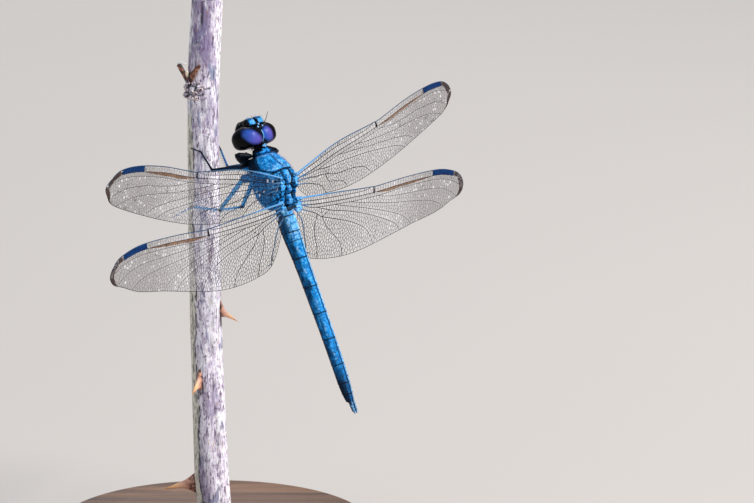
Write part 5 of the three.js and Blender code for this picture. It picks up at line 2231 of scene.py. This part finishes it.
    def colour(self, skin: Piece) -> None:
        """Lays out the bloom, the pale dusting, the dark seams, painted highlights, painted shade and the
        brown membrane.
        """
        zones = Zones(Bench.points(skin), Bench.normals(skin))
        bloom, pale, dark = self.bloom(zones), self.pale(zones), self.dark(zones)
        for mark, near, weight in self.seams(zones.places, zones.facing):
            reach = smooth(mark.width * 1.25, mark.width * 0.4, near) * weight
            dark = np.maximum(dark, mark.dark * reach)
            pale = np.maximum(pale, mark.pale * reach)
        # Painted shade in the skin's hollow places.
        hollow_shade = smooth(0.02, 0.13, self.hollow_shade(skin, zones.places, zones.facing))
        dark = np.maximum(dark, hollow_shade * smooth(0.6, 1.2, zones.places[:, 0]))
        warm = 0.8 * smooth(0.15, 0.55, MEMBRANE.inside(zones.places))
        Bench.paint(skin, bloom=bloom, pale=pale, dark=dark, warm=warm)

    def bloom(self, zones: "Zones") -> Array:
        """How blue the skin is at each vertex, less so under the abdomen as painted shade."""
        x, y, z = zones.places.T
        flank = np.interp(z, (-6.2, -4.2, -3.2, -1.5, 0.3, 1.5, 3), (0.5, 0.68, 0.86, 0.7, 0.66, 0.76, 0.8))
        flank *= 1 - 0.85 * smooth(9.6, 10.1, x) * smooth(-2.6, -3.2, z)
        flank *= 1 + 0.25 * grain(zones.places, 2.2)
        lobe = smooth(-0.1, 0.2, zones.over_line) * smooth(7.5, 7.9, x)
        bloom = zones.trunk * np.maximum(flank + (0.76 - flank) * zones.back, 0.78 * lobe)
        bloom *= 1 + 0.3 * grain(zones.places, 1.4)
        spans = (-1.3, 3, 7, 12, 17, 21, 25.8, 29, 31, 33)
        segments = np.interp(-x, spans, (0.88, 0.86, 0.8, 0.76, 0.74, 0.7, 0.64, 0.55, 0.5, 0.5))
        mottle = 1 + 0.25 * grain(zones.places * (0.6, 1, 1), 1.7)
        # The abdomen's bloom drops on faces that turn down: painted shade.
        bloom += zones.tail * segments * (0.55 + 0.45 * smooth(-0.1, 0.35, zones.up)) * mottle
        collar = window(11.05, 11.2, 11.8, 11.95, x) * smooth(-0.5, -0.1, z)
        collar *= smooth(0.75, 0.55, np.abs(y - 0.1))
        roots = [
            (0.6 + 0.35 * zones.rough) * smooth(-0.25, 0.2, depth) * smooth(-0.2, 0.3, zones.up)
            for depth in zones.wing_roots()
        ]
        body = np.maximum(bloom, np.maximum(*roots)) * (1 - zones.head)
        patches = [0.88 * zones.brow, 0.98 * zones.seam, 0.8 * zones.nape, 0.8 * collar]
        return np.maximum.reduce([body, *patches])

    def pale(self, zones: "Zones") -> Array:
        """How thickly the bloom has gathered at each vertex, with painted highlights on the abdomen and its
        tail appendages.
        """
        x, y, z = zones.places.T
        up, trunk, tail = zones.up, zones.trunk, zones.tail
        plates = window(1.7, 2.0, 7.0, 7.3, x) * smooth(0.7, 0.5, np.abs(y)) * smooth(0.3, 0.6, up)
        pale = 0.6 * plates * smooth(-0.25, 0.2, zones.crumbs)
        dusting = smooth(0.0, 0.5, grain(zones.places, 2.2) + 0.2)
        pale += 0.75 * trunk * zones.back * window(7.65, 7.9, 8.2, 9.0, x) * dusting
        pale += 0.5 * trunk * window(10.35, 10.55, 10.75, 10.95, x) * smooth(-1.5, -0.5, z)
        # A broken pale streak along each slope of the abdomen's back is a painted highlight.
        fleck = smooth(-0.15, 0.35, grain(zones.places * (0.7, 1, 1), 1.3))
        shoulder_highlight = smooth(0.22, 0.05, np.abs(np.abs(y) / zones.half - 0.66)) * smooth(0.3, 0.6, up)
        pale += tail * fleck * shoulder_highlight * np.interp(-x, (1, 4, 12, 24, 29), (0.8, 0.85, 0.7, 0.65, 0.1))
        # A pale strip on the abdomen's right slope is a painted highlight.
        pale += tail * smooth(-0.26, -0.36, y) * smooth(0.1, 0.4, up) * 0.9
        pale += tail * smooth(4.6, 3.6, -x) * smooth(0.2, 0.5, up) * (0.45 + 0.4 * fleck)
        # The tip of the tail and its appendages are made pale as a painted highlight.
        pale += 0.6 * smooth(32.0, 32.5, -x)
        near = zones.wing_roots()
        roots = [0.55 * zones.rough * smooth(0.0, 0.4, depth) * smooth(0.0, 0.5, up) for depth in near]
        brow = 0.45 * zones.brow * smooth(-0.2, 0.3, grain(zones.places, 2.4) + 0.15)
        body = np.maximum(pale, np.maximum(*roots)) * (1 - zones.head)
        return np.maximum.reduce([body, brow, 0.95 * zones.seam, 0.95 * zones.nape])

    def dark(self, zones: "Zones") -> Array:
        """How dark the skin is at each vertex, apart from its marks and the painted shade in hollow places,
        with painted shade under the abdomen and on its left flank.
        """
        x, y, z = zones.places.T
        up, tail = zones.up, zones.tail
        border = np.interp(z, (-4.0, -3.3, -2.5), (10.1, 9.7, 8.5))
        under_line = zones.trunk * smooth(0.05, -0.3, zones.over_line) * smooth(-0.35, 0.35, x - border)
        keel = smooth(0.2, 0.09, np.abs(y + 0.05)) * smooth(0.3, 0.6, up) * smooth(1.5, 4.0, -x)
        blots = smooth(0.25, 0.5, grain(zones.places * (0.55, 1, 1) + 9.0, 0.9)) * smooth(5.0, 9.0, -x)
        # Blotchy painted shade on the abdomen's left flank.
        left_flank_shade = smooth(-0.35, 0.25, grain(zones.places * (0.5, 1, 1) + 4.0, 1.6))
        # The last segments are darker, and more so on the left side as painted shade.
        shade = window(24.0, 29.5, 32.3, 32.9, -x) * (0.2 + 0.8 * smooth(0.3, 0.6, y / zones.half))
        waist = smooth(0.55, 0.25, np.abs(x - 1.15 + 0.4 * zones.crumbs)) * smooth(0.3, 0.6, up)
        pits = smooth(-0.12, -0.3, zones.crumbs) * window(1.6, 2.0, 7.0, 7.4, x)
        layers = [
            0.95 * under_line,
            *(0.95 * tail * smooth(0.17, 0.05, np.abs(x - edge)) for edge in SEGMENT_EDGES[1:-1]),
            0.85 * tail * keel,
            0.75 * tail * blots * smooth(0.0, 0.25, np.abs(y) / zones.half - 0.4),
            # Painted shade under the abdomen.
            0.9 * tail * smooth(0.0, 0.4, -up),
            0.7 * tail * left_flank_shade * smooth(0.6, 0.9, y / zones.half),
            0.9 * shade * tail,
            window(11.75, 11.95, 12.55, 12.75, x) * (1 - zones.nape),
            0.95 * waist * smooth(1.35, 1.1, np.abs(y)),
            0.85 * pits * smooth(0.7, 1.0, np.abs(y)) * smooth(0.2, 0.8, z),
        ]
        for band, depth in ((-1.35, 0.5), (-4.1, 0.9), (-8.4, 0.4)):
            layers.append(depth * tail * smooth(0.14, 0.04, np.abs(x - band + 0.1)))
        return np.maximum.reduce(layers)


@dataclass
class Eyes:
    """The two great eyes, the three small ones between them and the feelers."""

    form: Egg = Egg(14.42, 1.7, -1.65, 1.9, 2.2, 2.6, back=3, side=2.35)
    # Each eye has its painted reflection in its own place, so the two shells differ.
    finishes: ClassVar[dict[str, EyeShell]] = {
        "left": EyeShell("eye_shell_left"),
        "right": EyeShell(
            "eye_shell_right", (14.0, -0.95, 0.68), (0.018, -0.841, 0.855), (-0.727, -0.027, -0.011)
        ),
    }
    meeting: float = 0.22
    seam: float = 0.14
    bead: float = 0.17
    beads: tuple[Triple, ...] = ((15.93, 0.0, 0.28), (15.5, 0.52, 0.46), (15.5, -0.52, 0.46))
    feeler: tuple[Triple, ...] = (
        (15.72, 0.74, -0.1),
        (15.95, 0.95, 0.78),
        (16.6, 1.45, 1.08),
        (17.45, 2.03, 1.22),
    )

    def build(self) -> None:
        """Makes the eyes and feelers."""
        for name, side in (("left", 1), ("right", -1)):
            self.make_eye(name, side)
            self.make_feeler(name, side)
        forms = [Egg(*place, self.bead, self.bead, self.bead) for place in self.beads]
        beads = [Bench.egg("bead", form, 24, 16) for form in forms]
        # The small eyes are coloured pale blue-white as a painted highlight.
        glinting_ocelli = Stain("small_eye_shell", (0.08, 0.26, 0.6), (0.3, 0.55, 0.86), 0.2, 3.0, 0.0)
        Bench.hand_over(Bench.join("small_eyes", beads), glinting_ocelli, "eye_surface")

    def make_eye(self, name: str, side: int) -> None:
        """One great eye, cut flat where it meets the other."""
        eye = Bench.egg(f"eye_{name}_shell", replace(self.form, y=side * self.form.y), 128, 88)
        places = Bench.points(eye)
        places[:, 1] -= side * self.meeting * np.maximum(0, self.form.y - side * places[:, 1])
        Bench.move(eye, places)
        Bench.take(eye)
        bpy.ops.object.mode_set(mode="EDIT")
        bpy.ops.mesh.select_all(action="SELECT")
        bpy.ops.mesh.bisect(
            plane_co=(0, side * self.seam, 0), plane_no=(0, -side, 0), use_fill=True, clear_outer=True
        )
        bpy.ops.object.mode_set(mode="OBJECT")
        Bench.hand_over(eye, self.finishes[name], "eye_surface", [f"eye_{name}"], 50)

    def make_feeler(self, name: str, side: int) -> None:
        """One thin feeler with its thicker first two joints."""
        path = spline([(x, side * y, z) for x, y, z in self.feeler], 8)
        share = np.linspace(0, 1, len(path))
        radii = np.interp(share, (0, 0.15, 0.2, 0.33, 0.38, 1), (0.15, 0.15, 0.11, 0.11, 0.06, 0.03))
        feeler = Bench.sweep(f"feeler_{name}", path, radii, 12)
        black = Stain("black_shell", (0.004, 0.004, 0.006), (0.012, 0.012, 0.016), 0.3, 2.0, 0.02)
        Bench.hand_over(feeler, black, "dark_cuticle", [f"antenna_{name}"])


@dataclass(frozen=True)
class Limb:
    """A leg: its joints in the insect's frame, or its feet's places on the cane as angle and height."""

    name: str
    hip: Triple
    knee: Triple
    bloom: float
    ankle: Triple | None = None
    claw: Triple | None = None
    grip: Pairs = ()


@dataclass
class Legs:
    """Six spined legs and their claws."""

    cane: Cane
    limbs: tuple[Limb, ...] = (
        Limb(
            "leg_fore_left", (10.75, 1.35, -3.85), (12.1, 4.35, -2.55), 0.03,
            ankle=(11.35, 1.8, -2.2), claw=(12.15, 1.2, -3.3),
        ),
        Limb(
            "leg_fore_right", (10.75, -1.35, -3.85), (10.95, -4.5, -2.0), 0.03,
            ankle=(11.95, -1.75, -1.7), claw=(12.2, -1.2, -3.4),
        ),
        Limb(
            "leg_mid_left", (10.15, 1.5, -4.65), (11.36, 2.81, -10.53), 0.2,
            grip=((-8, 69.8), (-44, 70.2)),
        ),
        Limb(
            "leg_mid_right", (10.1, -1.5, -4.65), (11.16, -1.06, -10.74), 0.5,
            grip=((100, 69.6), (134, 70.9)),
        ),
        Limb(
            "leg_hind_left", (8.25, 1.52, -5.65), (4.84, 1.72, -12.91), 0.95,
            claw=(6.55, 1.85, -23.6), grip=((-43, 60.3),),
        ),
        Limb(
            "leg_hind_right", (8.25, -1.49, -5.65), (4.31, -3.0, -12.42), 0.88,
            grip=((95, 59.3), (129, 58.0)),
        ),
    )
    reach: float = 0.22
    steps: int = 16

    def build(self) -> None:
        """Makes the legs, their spines and their claws."""
        claws = []
        for limb in self.limbs:
            joints = self.joints(limb)
            self.make_leg(limb, joints)
            claws.extend(self.make_claws(joints))
        horn = Stain("claw_horn", (0.03, 0.012, 0.008), (0.1, 0.04, 0.02), 0.25)
        Bench.hand_over(Bench.join("foot_claws", claws), horn, "leg_cuticle")

    def joints(self, limb: Limb) -> list[Array]:
        """The hip, knee, ankle and toe in the insect's frame."""
        to_insect = POSE.matrix().inverted() @ SHRINK
        held = [np.array(to_insect @ self.cane.point(*place, self.reach)) for place in limb.grip]
        ankle = np.array(limb.ankle) if limb.ankle else held[0]
        toe = np.array(limb.claw) if limb.claw else held[-1]
        return [np.array(limb.hip), np.array(limb.knee), ankle, toe]

    def make_leg(self, limb: Limb, joints: list[Array]) -> None:
        """Thigh, shin and foot as one skin, with two rows of spines."""
        hip, knee, ankle, toe = joints
        share = np.linspace(0, 1, self.steps)
        folded = bool(limb.claw) and not limb.grip
        thigh, shin = (0.36, 0.43, 0.34, 0.3, 0.3), (0.26, 0.21, 0.17, 0.14, 0.16)
        if folded:
            thigh, shin = (0.55, 0.82, 0.74, 0.4, 0.28), (0.26, 0.36, 0.5, 0.5, 0.4)
        profiles = (
            (hip, knee, (0, 0.2, 0.6, 0.93, 1), thigh),
            (knee, ankle, (0, 0.06, 0.2, 0.9, 1), shin),
            (ankle, toe, (0, 0.12, 0.32, 0.36, 0.6, 0.64, 1), (0.14, 0.11, 0.12, 0.085, 0.11, 0.08, 0.1)),
        )
        parts = []
        for start, end, keys, radii in profiles:
            path = start + np.outer(share, end - start)
            parts.append(Bench.sweep("part", path, np.interp(share, keys, radii), 20))
        parts.append(self.spines(hip, knee, 8 + 4 * folded, 0.5, 0.3, 0.05))
        parts.append(self.spines(knee, ankle, 10 + 5 * folded, 0.9, 0.15 + 0.1 * folded, 0.05))
        parts.append(self.spines(ankle, toe, 5, 0.25, 0.08, 0.03))
        leg = Bench.join(f"{limb.name}_skin", parts)
        places = Bench.points(leg)
        near_joint = np.min([np.linalg.norm(places - joint, axis=1) for joint in (knee, ankle)], axis=0)
        bloom, dark = limb.bloom * smooth(0.1, 0.8, near_joint), 0.6 * smooth(0.5, 0.2, near_joint)
        bare = np.zeros(len(places))
        Bench.paint(leg, bloom=bloom, pale=bare, dark=dark, warm=bare)
        nodes = [f"{limb.name}_{part}" for part in ("femur", "tibia", "tarsus")]
        Bench.hand_over(leg, Cuticle("leg_shell", 0.85), "leg_cuticle", nodes, 60)

    def spines(
        self, start: Array, end: Array, count: int, length: float, radius: float, thick: float
    ) -> Piece:
        """Two rows of stiff bristles along a stretch of leg, leaning towards the foot."""
        way = unit(end - start)
        side = unit(np.cross(way, (0.0, 0.0, 1.0)))
        below = np.cross(way, side)
        points: list[Array] = []
        faces: list[tuple[int, ...]] = []
        for k in range(count):
            foot = start + (end - start) * (k + 0.9) / (count + 0.6)
            for lean in (0.75, -0.75):
                out = side * math.sin(lean) + below * math.cos(lean)
                tip = foot + out * (radius + length * 0.75) + way * length * 0.55
                root = foot + out * radius * 0.7
                first = len(points) * 5
                turn = np.cross(out, way)
                ring = [root + thick * outwards for outwards in (turn, way, -turn, -way)]
                points.append(np.vstack([*ring, tip]))
                faces.append(tuple(first + i for i in (3, 2, 1, 0)))
                faces.extend((first + i, first + (i + 1) % 4, first + 4) for i in range(4))
        return Bench.close(Bench.mesh("spines", np.vstack(points), faces), fill=False)

    def make_claws(self, joints: list[Array]) -> list[Piece]:
        """A pair of curved claws at the end of a foot."""
        _, _, ankle, toe = joints
        way = unit(toe - ankle)
        side = unit(np.cross(way, (0.2, 0.3, 1.0)))
        down = np.cross(way, side)
        made = []
        for turn in (1, -1):
            bend = toe + 0.2 * way + turn * 0.12 * side
            tip = toe + 0.38 * way + turn * 0.16 * side + 0.16 * down
            path = spline([toe - 0.05 * way, bend, tip], 6)
            made.append(Bench.sweep("claw", path, np.linspace(0.06, 0.015, len(path)), 10))
        return made


# ---- assembly


def main() -> None:
    """Builds every sub-assembly in order."""
    logging.basicConfig(level=logging.INFO, format="%(message)s")
    Studio().build()
    Stand().build()
    cane = Cane()
    cane.build()
    Body().build()
    Eyes().build()
    Legs(cane).build()
    Wings().build()


if __name__ == "__main__":
    main()
